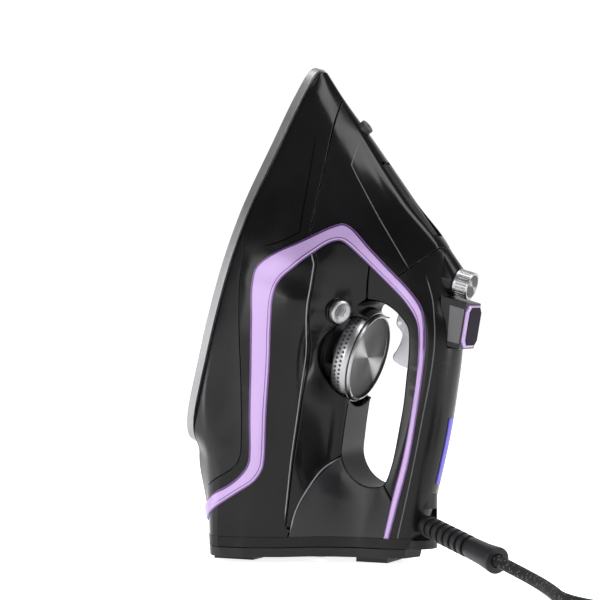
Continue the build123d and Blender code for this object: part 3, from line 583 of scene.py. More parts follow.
def smooth_curve(pts, n_per=8, closed=False, corners=()):
    """centripetal Catmull-Rom through pts; corner indices stay sharp"""
    pts = [np.array(p, float) for p in pts]
    N = len(pts)
    out = []
    rng_ = range(N if closed else N - 1)
    for i in rng_:
        p1, p2 = pts[i], pts[(i + 1) % N]
        p0 = pts[(i - 1) % N] if (closed or i > 0) and i not in corners else p1 - (p2 - p1) * 0.5
        p3 = pts[(i + 2) % N] if (closed or i + 2 < N) and ((i + 1) % N) not in corners else p2 + (p2 - p1) * 0.5
        t0 = 0.0
        t1 = t0 + max(np.linalg.norm(p1 - p0), 1e-6) ** 0.5
        t2 = t1 + max(np.linalg.norm(p2 - p1), 1e-6) ** 0.5
        t3 = t2 + max(np.linalg.norm(p3 - p2), 1e-6) ** 0.5
        for k in range(n_per):
            t = t1 + (t2 - t1) * k / n_per
            A1 = (t1 - t) / (t1 - t0) * p0 + (t - t0) / (t1 - t0) * p1
            A2 = (t2 - t) / (t2 - t1) * p1 + (t - t1) / (t2 - t1) * p2
            A3 = (t3 - t) / (t3 - t2) * p2 + (t - t2) / (t3 - t2) * p3
            B1 = (t2 - t) / (t2 - t0) * A1 + (t - t0) / (t2 - t0) * A2
            B2 = (t3 - t) / (t3 - t1) * A2 + (t - t1) / (t3 - t1) * A3
            out.append((t2 - t) / (t2 - t1) * B1 + (t - t1) / (t2 - t1) * B2)
    if not closed:
        out.append(pts[-1])
    return np.array(out)


def resample(pts, step, closed=True):
    pts = np.asarray(pts, float)
    if closed:
        pts = np.vstack([pts, pts[:1]])
    L = np.concatenate([[0], np.cumsum(np.linalg.norm(np.diff(pts, axis=0), axis=1))])
    n = max(int(round(L[-1] / step)), 8)
    q = np.linspace(0, L[-1], n + 1)
    r = np.stack([np.interp(q, L, pts[:, k]) for k in range(pts.shape[1])], 1)
    return r[:-1] if closed else r


def inside(poly, pts):
    x, y = pts[:, 0], pts[:, 1]
    c = np.zeros(len(pts), bool)
    n = len(poly)
    j = n - 1
    for i in range(n):
        xi, yi, xj, yj = poly[i, 0], poly[i, 1], poly[j, 0], poly[j, 1]
        cond = ((yi > y) != (yj > y))
        xc = (xj - xi) * (y - yi) / (yj - yi + 1e-12) + xi
        c ^= cond & (x < xc)
        j = i
    return c


K_T = 7.0     # one tau step counted as this many mm when meshing


def shell(name, outline, mat, body="housing", step=1.6, off=0.0, gap=0.22, edge=0.45, depth=2.2, sides=(1, -1), holes=(), step_in=2.2):
    """A panel of the body skin. outline: closed (s, h) outline on the near side; where it climbs past the crest it closes onto its mirror.
    holes: (s, h) outlines left open. The rim is rounded and turned inwards."""
    loops = []
    for q, (ol, is_hole) in enumerate([(outline, False)] + [(h_, True) for h_ in holes]):
        ol = resample(ol, step)
        top = rows(ol[:, 0])[:, 11, 0]
        over = ol[:, 1] >= top - 0.02
        t = np.where(over, 11.0, tau_of(ol[:, 0], np.minimum(ol[:, 1], top)))
        P2 = np.stack([ol[:, 0], t], 1)
        if over.any() and not over.all():
            # each part past the crest is replaced by a run along the crest
            n = len(P2)
            st_ = next(i for i in range(n) if over[i] and not over[i - 1])
            idx = [(st_ + k) % n for k in range(n)]
            newp, flag = [], []
            i = 0
            while i < n:
                if over[idx[i]]:
                    j = i
                    while j + 1 < n and over[idx[j + 1]]:
                        j += 1
                    sa, sb = P2[idx[i], 0], P2[idx[j], 0]
                    m = max(int(abs(sb - sa) / step), 1)
                    newp += [(sa + (sb - sa) * k / m, 11.0) for k in range(m + 1)]
                    flag += [True] * (m + 1)
                    i = j + 1
                else:
                    newp.append(tuple(P2[idx[i]]))
                    flag.append(False)
                    i += 1
            P2, flag = np.array(newp), np.array(flag)
        else:
            flag = np.zeros(len(P2), bool)
        loops.append((P2, flag, is_hole))

    V, Nn, F = [], [], []
    flat_all, edges, ring_ids = [], [], []

    def scaled(p):
        return np.stack([p[:, 0], p[:, 1] * K_T], 1)

    loop_data = []
    for P2, flag, is_hole in loops:
        s, t = P2[:, 0], P2[:, 1]
        p = surf(s, t)
        nrm = surf_n(s, t)
        T = np.roll(p, -1, 0) - np.roll(p, 1, 0)
        T /= np.maximum(np.linalg.norm(T, axis=1), 1e-9)[:, None]
        Bv = np.cross(nrm, T)
        # pick the sign that points into the panel
        e1, e2 = 0.2, 0.02
        ps = (surf(s + e1, t) - surf(s - e1, t)) / (2 * e1)
        tt0, tt1 = np.clip(t - e2, 0, 11), np.clip(t + e2, 0, 11)
        pt = (surf(s, tt1) - surf(s, tt0)) / (tt1 - tt0)[:, None]

        def step2(vec):
            a11 = (ps * ps).sum(1)
            a12 = (ps * pt).sum(1)
            a22 = (pt * pt).sum(1)
            b1, b2 = (ps * vec).sum(1), (pt * vec).sum(1)
            det = np.maximum(a11 * a22 - a12 * a12, 1e-6)
            return np.stack([(a22 * b1 - a12 * b2) / det, (a11 * b2 - a12 * b1) / det], 1)

        area = 0.5 * np.sum(P2[:, 0] * np.roll(P2[:, 1], -1) - np.roll(P2[:, 0], -1) * P2[:, 1])
        d2 = step2(Bv)
        # inward for a counter-clockwise (s, tau) loop is to the left
        T2 = np.roll(P2, -1, 0) - np.roll(P2, 1, 0)
        left = np.stack([-T2[:, 1] * K_T * K_T, T2[:, 0]], 1)
        sgn = np.sign((left[:, 0] * d2[:, 0] + left[:, 1] * d2[:, 1] * K_T * K_T))
        sgn = np.where(sgn == 0, 1, sgn) * (1 if area > 0 else -1) * (-1 if is_hole else 1)
        Bv = Bv * sgn[:, None]
        d2 = d2 * sgn[:, None]

        def shifted(d):
            q = P2 + d2 * d
            q[:, 1] = np.where(flag, 11.0, np.clip(q[:, 1], 0, 11))
            q[:, 0] = np.where(flag, P2[:, 0], q[:, 0])
            return q
        loop_data.append((P2, flag, shifted, Bv))

    # interior points
    out_in = loop_data[0][2](gap + edge)
    so = scaled(out_in)
    x0, y0, x1, y1 = so[:, 0].min(), so[:, 1].min(), so[:, 0].max(), so[:, 1].max()
    gx, gy = np.meshgrid(np.arange(x0, x1, step_in), np.arange(y0, y1, step_in))
    gx[1::2] += step_in / 2
    G = np.stack([gx.ravel(), gy.ravel()], 1)
    ok = inside(so, G)
    for d in loop_data[1:]:
        ok &= ~inside(scaled(d[2](gap + edge)), G)
    G = G[ok]
    rims = [scaled(d[2](gap + edge)) for d in loop_data]
    allr = np.vstack(rims)
    if len(G):
        keepg = np.ones(len(G), bool)
        for c in range(0, len(G), 4000):
            dd = ((G[c:c + 4000, None, :] - allr[None, :, :]) ** 2).sum(2).min(1)
            keepg[c:c + 4000] = dd > (0.45 * step_in) ** 2
        G = G[keepg]
    pts2 = [tuple(p) for p in allr] + [tuple(p) for p in G]
    edges = []
    base = 0
    for r_ in rims:
        n = len(r_)
        edges += [(base + i, base + (i + 1) % n) for i in range(n)]
        base += n
    cdt = delaunay_2d_cdt([Vector(p) for p in pts2], edges, [], 0, 1e-5)
    cv = np.array([tuple(v) for v in cdt[0]])
    orig = cdt[3]
    tri = [f for f in cdt[2]]
    cen = np.array([cv[list(f)].mean(0) for f in tri])
    good = inside(rims[0], cen)
    for r_ in rims[1:]:
        good &= ~inside(r_, cen)
    tri = [f for f, g in zip(tri, good) if g]
    s, t = cv[:, 0], cv[:, 1] / K_T
    p = surf(s, t)
    nr = surf_n(s, t)
    V = list(p + nr * off)
    Nn = list(nr)
    F = [tuple(f) for f in tri]
    first = {}
    for i, o_ in enumerate(orig):
        for k in o_:
            first.setdefault(k, i)
    base = 0
    for (P2, flag, shifted, Bv), r_ in zip(loop_data, rims):
        n = len(P2)
        prev = [first.get(base + i, None) for i in range(n)]
        base += n
        profile = []
        for a in (30, 60, 90):
            ra = math.radians(a)
            profile.append((gap + edge * (1 - math.sin(ra)), edge * (1 - math.cos(ra)), ra))
        profile.append((gap, edge + depth, math.pi / 2))
        for d, sink, ra in profile:
            q = shifted(d)
            pp = surf(q[:, 0], q[:, 1])
            nn = surf_n(q[:, 0], q[:, 1])
            pos = pp + nn * (off - sink)
            nv = nn * math.cos(ra) - Bv * math.sin(ra)
            nv = np.where(flag[:, None], nn, nv)
            ids = []
            for i in range(n):
                ids.append(len(V))
                V.append(pos[i])
                Nn.append(nv[i])
            for i in range(n):
                j = (i + 1) % n
                if flag[i] and flag[j]:
                    continue
                if prev[i] is None or prev[j] is None:
                    continue
                F.append((prev[i], prev[j], ids[j], ids[i]))
            prev = ids
    V, Nn = np.array(V), np.array(Nn)
    objs = []
    allV, allN, allF = [], [], []
    off_i = 0
    for sd in sides:
        v = V.copy()
        v[:, 1] *= sd
        n = Nn.copy()
        n[:, 1] *= sd
        allV.append(v)
        allN.append(n)
        allF += [tuple(i + off_i for i in f) for f in F]
        off_i += len(v)
    v = np.vstack(allV)
    n = np.vstack(allN)
    # orient faces by the vertex normals
    f2 = []
    for f in allF:
        a, b, c = v[f[0]], v[f[1]], v[f[2]]
        fn = np.cross(b - a, c - a)
        f2.append(f if fn.dot(n[f[0]] + n[f[1]] + n[f[2]]) >= 0 else f[::-1])
    wv = wpt(v)
    # the lying frame is right handed in the row frame too
    o = make_mesh(name, wv, f2, normals=wvec(n), mat=mat)
    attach(o, body)
    return o


def poly(*pts, n=8, corners=None, closed=True):
    """outline from points; all are corners unless corners lists the sharp ones"""
    return smooth_curve(pts, n, closed, corners if corners is not None else range(len(pts)))



DS = tuple((wpt(np.array([[78.0, 0, 84.0]]))[0] / 1000).tolist())
KS = tuple((wpt(np.array([[137.7, 0, 134.3]]))[0] / 1000).tolist())
# turned metal for the dial face and the knob cap, each with the painted highlight bands
M["spun_face"] = spun("spun_face", (0.009, 0.009, 0.010), (0.024, 0.024, 0.025), DS, tuple(EH))
M["spun_dial"] = M["spun_face"]
M["spun_knob"] = spun("spun_knob", (0.03, 0.03, 0.032), (0.06, 0.06, 0.062), KS, tuple(EH))

# ------------------------------------------------------------------ outlines, (s, h)


def heel(h, z=9.3):
    return ((z - Z0) + h * ST) / CT


def w_line(s_list, w):
    """h on the surface where its half width is w, on the upper part"""
    out = []
    for s, ww in zip(s_list, w if hasattr(w, "__len__") else [w] * len(s_list)):
        lo, hi = 4.0, 11.0
        for _ in range(30):
            mid = (lo + hi) / 2
            if surf([s], [mid])[0, 1] > ww:
                lo = mid
            else:
                hi = mid
        out.append((s, surf([s], [lo])[0, 2]))
    return out


OPEN = [(53, 84.8), (41, 86.3), (30, 88), (20, 90), (13, 95), (9, 101), (7.2, 108), (8.2, 114.5), (11.5, 120), (22.8, 121.8),
        (48, 119.7), (60.8, 118.3), (75, 115.8), (90.2, 113.2), (98.5, 111.2), (104.8, 108.6), (109.6, 103), (113, 96), (114.4, 87),
        (109, 76), (103, 77), (80, 80), (65, 83)]
V_LOW = [(129, 93), (123, 104), (109, 117), (100, 120.5), (85, 124), (56, 127.8), (30, 130.3), (6.6, 130.6), (heel(131), 131.2)]
OPEN_S = smooth_curve(OPEN, 6, True)
PR = 29.6


def open_part(a, b):
    """part of the smoothed opening contour from control point a forward to b"""
    i, j = a * 6, b * 6
    n = len(OPEN_S)
    out = []
    while True:
        out.append(OPEN_S[i % n])
        if i % n == j % n:
            break
        i += 1
    return out


def lines(*parts):
    """several polylines joined into one outline"""
    out = []
    for p in parts:
        out += [tuple(q) for q in p]
    return np.array(out, float)


split = [(heel(78.2), 78.2), (129, 52.5)]
GROOVE = smooth_curve([(-20, 22), (-13.1, 28.6), (-7, 35), (-0.5, 39.9), (4, 41), (8.5, 40.8), (40, 32), (81.1, 19.8), (105, 13.5), (117.3, 11.5), (124, 10.2), (132, 7.6), (138, 4.9)], 6)

# lower shell: the side and, below the groove, a skirt set a little lower
low_side = lines(GROOVE[::1], [(235.0, 4.9), (235.0, 40), (226.5, 40), (226, 20), (222, 23.6), (186, 34), (142, 44), (129, 52.5), (-27.5, 76.05), (-29.5, 78.4), (heel(79.0), 79.0), (heel(22), 22)])
low_skirt = lines([(heel(4.9), 4.9)], [(138, 4.9)], GROOVE[::-1][1:], [(heel(22), 22)])
o_low = shell("shell_lower", low_side, "black_gloss")
o_skirt = shell("shell_skirt", low_skirt, "black_panel", off=-0.35)

door_s = np.linspace(160.6, 193.4, 14)
tank_ol = lines([(142, 44), (147.5, 60), (138, 78), (129, 93), (155.2, 112.1), (155.2, 130), (160.6, 130)], w_line(door_s, 6.7), [(193.4, 90), (226.4, 60), (226, 20), (222, 23.6), (186, 34)])
o_tank = shell("shell_tank", tank_ol, "black_gloss")

disp_s = np.linspace(101.0, 128.6, 12)
top_ol = lines(V_LOW[::1], [(heel(140), 140), (heel(149), 160), (101.0, 160)], [(a_, max(h_, 128.6 - 7.0 * (a_ - 101) / 27.4)) for a_, h_ in w_line(disp_s, 12.7)], [(128.6, 160), (155.2, 150), (155.2, 112.1)])
o_top = shell("handle_upper", top_ol, "handle_black")

hl_ol = lines([(138, 78)], [(113.6, 80.4)], list(reversed(open_part(8, 18))), [(5, 128.6), (heel(131.2), 131.2)], V_LOW[::-1][1:])
o_hl = shell("handle_under", hl_ol, "handle_black", edge=0.9)
fair_ol = lines(list(reversed(open_part(3, 8))), [(15, 86.2), (0, 80.9), (-17, 78.5), (-29.5, 78.6), (heel(79.1), 79.1), (heel(131.0), 131.0), (4.6, 128.4)])
# rear fairing: satin, its lighter colour is painted light
o_fair = shell("rear_fairing", fair_ol, "fairing", gap=0.1, edge=0.9)
ss_ = np.linspace(102.6, 53.4, 40)
pocket_edge = w_line(ss_, np.sqrt(np.maximum(PR ** 2 - (ss_ - 78) ** 2, 0)))
sad_ol = lines([(-28, 76.2), (129, 52.5), (142, 44), (147.5, 60), (138, 78), (113.6, 80.3), (109, 76), (104.5, 76.7)], pocket_edge, [(50, 85.2), (41, 86.3), (30, 88), (20, 90), (15, 86), (0, 80.7), (-17, 78.3), (-28, 78.3)])
o_sad = shell("saddle", sad_ol, "black_gloss", edge=0.6)

# inner wall of the finger opening, from side to side, open where the dial well is
OC = resample(OPEN_S, 1.3)
t_oc = tau_of(OC[:, 0], OC[:, 1])
Woc = surf(OC[:, 0], t_oc)[:, 1] - 0.5
cen = OC.mean(0)
NY = 26
vv, ff, vn = [], [], []
Tn = np.roll(OC, -1, 0) - np.roll(OC, 1, 0)
Tn /= np.linalg.norm(Tn, axis=1)[:, None]
ar = 0.5 * np.sum(OC[:, 0] * np.roll(OC[:, 1], -1) - np.roll(OC[:, 0], -1) * OC[:, 1])
inn = np.stack([-Tn[:, 1], Tn[:, 0]], 1) * (1 if ar > 0 else -1)
bad = []
for i in range(len(OC)):
    for k in range(NY + 1):
        y = Woc[i] * (1 - 2 * k / NY)
        s_, h_ = OC[i]
        r_ = math.hypot(s_ - 78, y)
        b_ = False
        if r_ < PR and h_ < 95:
            if r_ > PR - 2.2:
                s_ = 78 + (s_ - 78) * PR / r_
                y = y * PR / r_
            else:
                b_ = True
        bad.append(b_)
        vv.append((s_, y, h_))
        vn.append((inn[i, 0], 0, inn[i, 1]))
n_ = NY + 1
for i in range(len(OC)):
    j = (i + 1) % len(OC)
    for k in range(NY):
        q = (i * n_ + k, i * n_ + k + 1, j * n_ + k + 1, j * n_ + k)
        if not any(bad[a] for a in q):
            ff.append(q)
o_wall = make_mesh("opening_wall", wpt(np.array(vv)), ff, mat="wall_black")
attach(o_wall, "housing")

# the well under the dial
vv, ff = [], []
NW = 120
for k in range(NW):
    a = 2 * math.pi * k / NW
    s_, y = 78 + PR * math.cos(a), PR * math.sin(a)
    i0 = np.argmin(np.where(OC[:, 1] < 92, np.abs(OC[:, 0] - s_), 1e9))
    htop = OC[i0, 1] if abs(OC[i0, 0] - s_) < 3 and OC[i0, 1] < 92 else 90.0
    hs = w_line([s_], max(abs(y), 0.3))[0][1]
    htop = min(htop, hs) + 0.1
    for h_ in (60.2, htop):
        vv.append((s_, y, h_))
for k in range(NW):
    j = (k + 1) % NW
    ff.append((2 * k, 2 * k + 1, 2 * j + 1, 2 * j))
vv.append((78, 0, 60.2))
for k in range(NW):
    ff.append((2 * NW, 2 * k, 2 * ((k + 1) % NW)))
o_well = make_mesh("dial_well", wpt(np.array(vv)), ff, smooth=False, mat="black_gloss")
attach(o_well, "housing")

# ------------------------------------------------------------------ raised trim, the same on both sides
OUT = [(-35, 18.0), (-28, 24.5), (-21, 30.2), (-14.6, 37), (-7.8, 42.5), (-0.2, 46.2), (4.2, 46.8), (10, 45.8), (33.3, 38.9), (62, 31.8), (85, 26.2), (106, 20.9),
       (115.7, 20.6), (124.7, 26.5), (137.3, 40.1), (150.6, 53.4), (153.4, 58), (152.3, 63.1), (143.5, 76.6), (135.2, 89.9),
       (126.7, 104.3), (118.3, 115), (108.3, 120.3), (98.9, 123.2), (90.3, 125), (61.5, 129.1), (30.7, 132.3), (7.3, 132.9), (heel(133.3, 15), 133.2)]
INN = [(-41.5, 25.5), (-35, 29.5), (-29, 34), (-17.1, 44.4), (-6.8, 53.1), (1.4, 55.9), (8, 55.7), (36.5, 49), (65.5, 43.2), (85.6, 38.6), (103.1, 35.6),
       (112.4, 36.6), (122.1, 42.4), (132, 48.9), (140.6, 55.2), (143.3, 59.7), (142.5, 63.2), (133.3, 79.3), (126.4, 91.1),
       (118.8, 103.9), (110.1, 113.8), (101.5, 117.7), (91.8, 120.2), (80.4, 122.6), (52.2, 126.4), (29.3, 128.3), (5.9, 128.6), (heel(129.8, 15), 129.8)]
out_s, inn_s = smooth_curve(OUT, 6), smooth_curve(INN, 6)
band = lines(out_s, inn_s[::-1])
# darker copies of the lilac: painted shade for the trim's rounded edges and bevel
M["lilac_shade"] = flake("lilac_shade", (0.13, 0.065, 0.20), (0.17, 0.085, 0.25), 0.4, metal=0.7)
M["lilac_edge_shade"] = flake("lilac_edge_shade", (0.075, 0.03, 0.12), (0.10, 0.045, 0.16), 0.4, metal=0.6)
M["lilac_inner"] = flake("lilac_inner", (0.40, 0.37, 0.60), (0.46, 0.43, 0.66), 0.28)
for sd, nm in ((1, "near"), (-1, "far")):
    # darker band under the face: its rim round the face is painted shade of the rounded edge
    a = shell("trim_edge_" + nm, band, "lilac_shade", off=0.55, gap=0.0, edge=0.4, depth=1.2, sides=(sd,), step=1.3, step_in=2.0)
    b = shell("trim_face_" + nm, band, "lilac", off=1.15, gap=0.75, edge=0.55, depth=0.6, sides=(sd,), step=1.3, step_in=2.0)
    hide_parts("trim_" + nm)

# ------------------------------------------------------------------ fine lines on the surface


def ribbon(name, sh, w, mat, off=0.06, sides=(1, -1), body="housing", taper=True, lift=0.0):
    sh = resample(np.asarray(sh, float), 1.0, closed=False)
    top = rows(sh[:, 0])[:, 11, 0]
    t = np.where(sh[:, 1] >= top, 11.0, tau_of(sh[:, 0], np.minimum(sh[:, 1], top)))
    p, n = surf(sh[:, 0], t), surf_n(sh[:, 0], t)
    T = np.gradient(p, axis=0)
    T /= np.maximum(np.linalg.norm(T, axis=1), 1e-9)[:, None]
    B = np.cross(n, T)
    L = np.concatenate([[0], np.cumsum(np.linalg.norm(np.diff(p, axis=0), axis=1))])
    ww = np.full(len(p), w / 2)
    if taper:
        ww *= np.clip(np.minimum(L, L[-1] - L) / 6.0, 0.12, 1)
    V, N, F = [], [], []
    for sd in sides:
        b = len(V)
        for i in range(len(p)):
            for f, up in ((-1, 0.0), (-0.5, 1.0), (0.5, 1.0), (1, 0.0)):
                q = p[i] + B[i] * ww[i] * f + n[i] * (off + lift * up)
                V.append(q * (1, sd, 1))
                N.append((n[i] + B[i] * f * 0.5 * (1 if lift else 0)) * (1, sd, 1))
        for i in range(len(p) - 1):
            for k in range(3):
                F.append((b + 4 * i + k, b + 4 * i + k + 1, b + 4 * i + 5 + k, b + 4 * i + 4 + k))
    V, N = np.array(V), np.array(N)
    F2 = []
    for f in F:
        fn = np.cross(V[f[1]] - V[f[0]], V[f[2]] - V[f[0]])
        F2.append(f if fn.dot(N[f[0]]) >= 0 else f[::-1])
    o = make_mesh(name, wpt(V), F2, normals=wvec(N), mat=mat)
    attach(o, body)
    return o


GL = smooth_curve([(-33.9, 76.7), (-0.3, 70.4), (28.9, 64.8), (58.1, 59.6), (93.6, 55.1), (111.4, 53.5), (129.2, 51.8)], 6)
# painted highlights: the light grey ribbons on the crease, the tank facet, the handle and the rear arc stand for light
# caught on those edges; the upper panel edge is a dark groove
lines_made = [
    (ribbon("side_crease_highlight", smooth_curve([(-24, 74.6), (20, 67.6), (60, 61.6), (100, 55.6), (126.5, 51.6), (135.5, 46.6)], 6, corners=(4,)), 0.7, "painted_highlight_grey", lift=0.15), "dark_grey"),
    (ribbon("upper_panel_edge", smooth_curve([(197.1, 22.4), (170, 30.5), (142.3, 38.2), (135, 31), (128, 20.8)], 8, corners=(2,)), 0.75, "groove"), "dark_grey"),
    (ribbon("tank_facet_highlight", smooth_curve([(202.1, 44.3), (187, 47.9), (163.3, 73), (137.8, 100.7)], 8, corners=(1,)), 0.6, "mid_grey", lift=0.12), "dark_grey"),
    (ribbon("handle_highlight_line", smooth_curve([(137, 110.2), (123, 119), (108.7, 125.5), (91.6, 129.5), (50, 133.6), (20, 135.9), (-20.9, 138)], 8), 0.7, "mid_grey", lift=0.15), "dark_grey"),
    (ribbon("rear_arc_highlight", smooth_curve([(-31, 78.9), (-16.7, 78.4), (-0.7, 80.7), (10, 83.6), (15.5, 87.0), (18.5, 89.6)], 8), 0.9, "painted_highlight_grey", off=0.15, lift=0.2), "dark_grey"),
]

for o, node, sl in ((o_low, "lower_shell", "black_gloss"), (o_tank, "water_tank", "black_gloss"), (o_top, "handle_top", "black_gloss"), (o_hl, "handle_lower", "black_gloss"), (o_sad, "saddle_shell", "black_gloss")):
    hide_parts(node)

bs = np.concatenate([np.linspace(-55.2, 12, 50), np.linspace(16, 234, 60)])
br = rows(bs)[:, 0]
V, N, F = [], [], []
NB = 12
for i in range(len(bs)):
    for k in range(NB + 1):
        V.append((bs[i], (br[i, 1] - 0.4) * (1 - 2 * k / NB), br[i, 0] + 0.15))
for i in range(len(bs) - 1):
    for k in range(NB):
        F.append((i * (NB + 1) + k, i * (NB + 1) + k + 1, (i + 1) * (NB + 1) + k + 1, (i + 1) * (NB + 1) + k))
belly = make_mesh("underside", wpt(np.array(V)), F, mat="black_satin")
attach(belly, "housing")

# fine lines of the trim, both painted shade: dark along the outside, a darker bevel line along the inside


def towards(path, other, d):
    out = []
    for p in path:
        j = np.argmin(((other - p) ** 2).sum(1))
        v = other[j] - p
        L = max(np.linalg.norm(v), 1e-6)
        out.append(p + v / L * min(d, L * 0.3))
    return np.array(out)


i_a, i_b = 2 * 6, 23 * 6
t1_ = ribbon("trim_bevel_shade", towards(inn_s[i_a:i_b], out_s, 2.0), 0.5, "lilac_shade", off=1.19)
t2_ = ribbon("trim_outer_shade", towards(out_s[6:24 * 6], inn_s, 0.95), 0.9, "lilac_edge_shade", off=1.2)

# ------------------------------------------------------------------ black band at the heel, light strip
hb_h = np.linspace(5.2, 128, 40)
o_band = shell("heel_band", lines([(heel(h_, 9.4), h_) for h_ in hb_h], [(heel(146, 9.4), 146), (heel(152, 9.4), 170), (heel(152, 15.5), 170), (heel(146, 15.5), 146)], [(heel(h_, 15.5), h_) for h_ in hb_h[::-1]]), "band", off=0.3, gap=0.0, edge=0.3, depth=0.6)
ls_s = np.linspace(20, 60, 20)
o_ls = shell("light_bar", lines([(20, 170)], w_line(ls_s, 3.0), [(60, 170)]), "violet_light", off=0.45, gap=0.0, edge=0.3, depth=0.8, step=1.0, step_in=1.2)
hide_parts("light_strip")


def lathe(name, prof, centre, axis, mat, body, seg=128, local=True, closed=True, smooth=True, ang=35.0):
    """prof: (radius, distance along axis) points; turned about the axis through centre. Edges sharper than ang are
    marked sharp for crisp shading.
    """
    c = np.asarray(centre, float)
    ax = np.asarray(axis, float)
    ax = ax / np.linalg.norm(ax)
    u = np.cross(ax, (0, 1, 0) if abs(ax[1]) < 0.9 else (1, 0, 0))
    u /= np.linalg.norm(u)
    v = np.cross(ax, u)
    V, F = [], []
    for r, h in prof:
        for k in range(seg):
            a = 2 * math.pi * k / seg
            V.append(c + ax * h + (u * math.cos(a) + v * math.sin(a)) * r)
    for i in range(len(prof) - 1):
        for k in range(seg):
            k2 = (k + 1) % seg
            F.append((i * seg + k, i * seg + k2, (i + 1) * seg + k2, (i + 1) * seg + k))
    o = make_mesh(name, wpt(np.array(V)) if local else np.array(V), F, mat=mat)
    me = o.data
    me.set_sharp_from_angle(angle=math.radians(ang))
    import bmesh
    bm = bmesh.new()
    bm.from_mesh(me)
    bmesh.ops.remove_doubles(bm, verts=bm.verts, dist=1e-6)
    bmesh.ops.recalc_face_normals(bm, faces=bm.faces)
    bm.to_mesh(me)
    bm.free()
    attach(o, body)
    return o


DC = (78.0, 0, 0)
dial_o = lathe("dial_ring", [(11.0, 72.6), (27.2, 72.5), (28.3, 72.9), (28.8, 73.7), (28.85, 79.0), (28.6, 80.2), (28.1, 81.5), (27.7, 82.1), (27.3, 82.1), (27.0, 81.8), (26.8, 82.1), (26.6, 83.0), (26.3, 83.9), (25.8, 84.3), (25.2, 84.3), (24.9, 83.9), (24.6, 83.2), (24.3, 82.4), (20.0, 82.2), (11.0, 82.2), (11.0, 72.6)], DC, (0, 0, 1), "silver", "dial")
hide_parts("dial_rim")
face_o = lathe("dial_disc", [(0.02, 82.75), (12, 82.7), (23.2, 82.65), (23.5, 82.8), (23.9, 82.8), (24.2, 82.4), (24.2, 81.9)], DC, (0, 0, 1), "spun_face", "dial", seg=160)
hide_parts("dial_face")
# dark grey laid over the silver ring's inner slope and its groove: painted shade
stp = lathe("dial_step", [(24.3, 82.9), (24.62, 83.4), (24.9, 84.0), (25.15, 84.36)], DC, (0, 0, 1), "dark_grey", "dial")
stp2 = lathe("dial_groove", [(27.25, 82.14), (27.0, 81.9), (26.82, 82.2), (26.72, 82.8)], DC, (0, 0, 1), "dark_grey", "dial")
V, F = [], []
for i in range(13):
    a = math.radians(156 + 26 * i / 12)
    for r_, h_ in ((24.95, 84.42), (26.15, 84.44), (26.7, 83.4)):
        V.append((78 + r_ * math.cos(a), r_ * math.sin(a), h_))
    if i:
        b0 = len(V) - 6
        F += [(b0, b0 + 1, b0 + 4, b0 + 3), (b0 + 1, b0 + 2, b0 + 5, b0 + 4)]
mk = make_mesh("dial_pointer", wpt(np.array(V)), F, mat="pit")
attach(mk, "dial")
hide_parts("dial_marker")
# two rows of small pits round the rim, dark: painted shade in the pits
V, F = [], []
for row, (r_, h_, nr_, nh_) in enumerate(((28.84, 75.4, 1.0, 0.0), (28.84, 78.2, 1.0, 0.0))):
    for k in range(66):
        a = 2 * math.pi * (k + 0.5 * row) / 66
        cpt = np.array([78 + r_ * math.cos(a), r_ * math.sin(a), h_])
        nrm = np.array([nr_ * math.cos(a), nr_ * math.sin(a), nh_])
        tg = np.array([-math.sin(a), math.cos(a), 0])
        up = np.cross(nrm, tg)
        b0 = len(V)
        V.append(cpt + nrm * 0.02)
        for q in range(10):
            an = 2 * math.pi * q / 10
            V.append(cpt + nrm * 0.09 + (tg * math.cos(an) + up * math.sin(an)) * 0.82)
        for q in range(10):
            F.append((b0, b0 + 1 + q, b0 + 1 + (q + 1) % 10))
pits = make_mesh("dial_pits", wpt(np.array(V)), F, mat="pit")
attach(pits, "dial")
# button
BA = np.array([0, math.sin(math.radians(27)), math.cos(math.radians(27))])
bx = wvec(np.array([[0, 0, 0.0]]))
baxis_row = np.array([0.85343, -0.45399, -0.25604])
b_axis = np.array([baxis_row @ ES, baxis_row @ EY, baxis_row @ EH])
BC = np.array([103.0, 28.2, 67.9])
b_prof = [(0.02, 3.95), (4.9, 3.95), (5.3, 4.15), (6.2, 4.1), (6.9, 3.6), (7.2, 2.7), (7.2, 0.6), (5.6, 0.3), (5.6, -1.4), (0.02, -1.4)]
btn = lathe("button_cap", b_prof, BC, b_axis, "silver", "button", seg=64)
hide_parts("clean_button")
bsl = lathe("button_ring", [(7.45, -5.0), (7.45, 0.0), (7.55, 0.25), (7.9, 0.25), (8.1, 0.0), (8.1, -4.0)], BC, b_axis, "black_gloss", "housing", seg=64)
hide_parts("button_sleeve")
# three small wavy lines on the button
bu = np.cross(b_axis, (0, 1, 0)); bu /= np.linalg.norm(bu)
bv_ = np.cross(b_axis, bu)
V, F = [], []
for k in (-1, 0, 1):
    for i in range(9):
        t = i / 8
        cx_ = 1.7 * k + 0.45 * math.sin(t * 2 * math.pi)
        cy_ = -2.4 + 4.8 * t
        for w2 in (-0.28, 0.28):
            V.append(BC + b_axis * 4.02 + bv_ * (cx_ + w2) + bu * cy_)
        if i:
            b0 = len(V) - 4
            F.append((b0, b0 + 1, b0 + 3, b0 + 2))
ico = make_mesh("button_mark", wpt(np.array(V)), F, mat="mid_grey")
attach(ico, "button")
# trigger pin, short, inside the trigger
pin_o = lathe("trigger_axle", [(0.02, -6.3), (1.2, -6.3), (1.2, 6.3), (0.02, 6.3)], (104.6, 0, 99.0), (0, 1, 0), "steel", "housing", seg=32)
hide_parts("trigger_pin")
# display: lilac bezel, black glass, grey plate on each side of the housing
TA = math.atan2(3.2, 26.8)
FX, FZ = np.array([math.cos(TA), 0, -math.sin(TA)]), np.array([math.sin(TA), 0, math.cos(TA)])
FO = np.array([115.0, 0, 139.6])


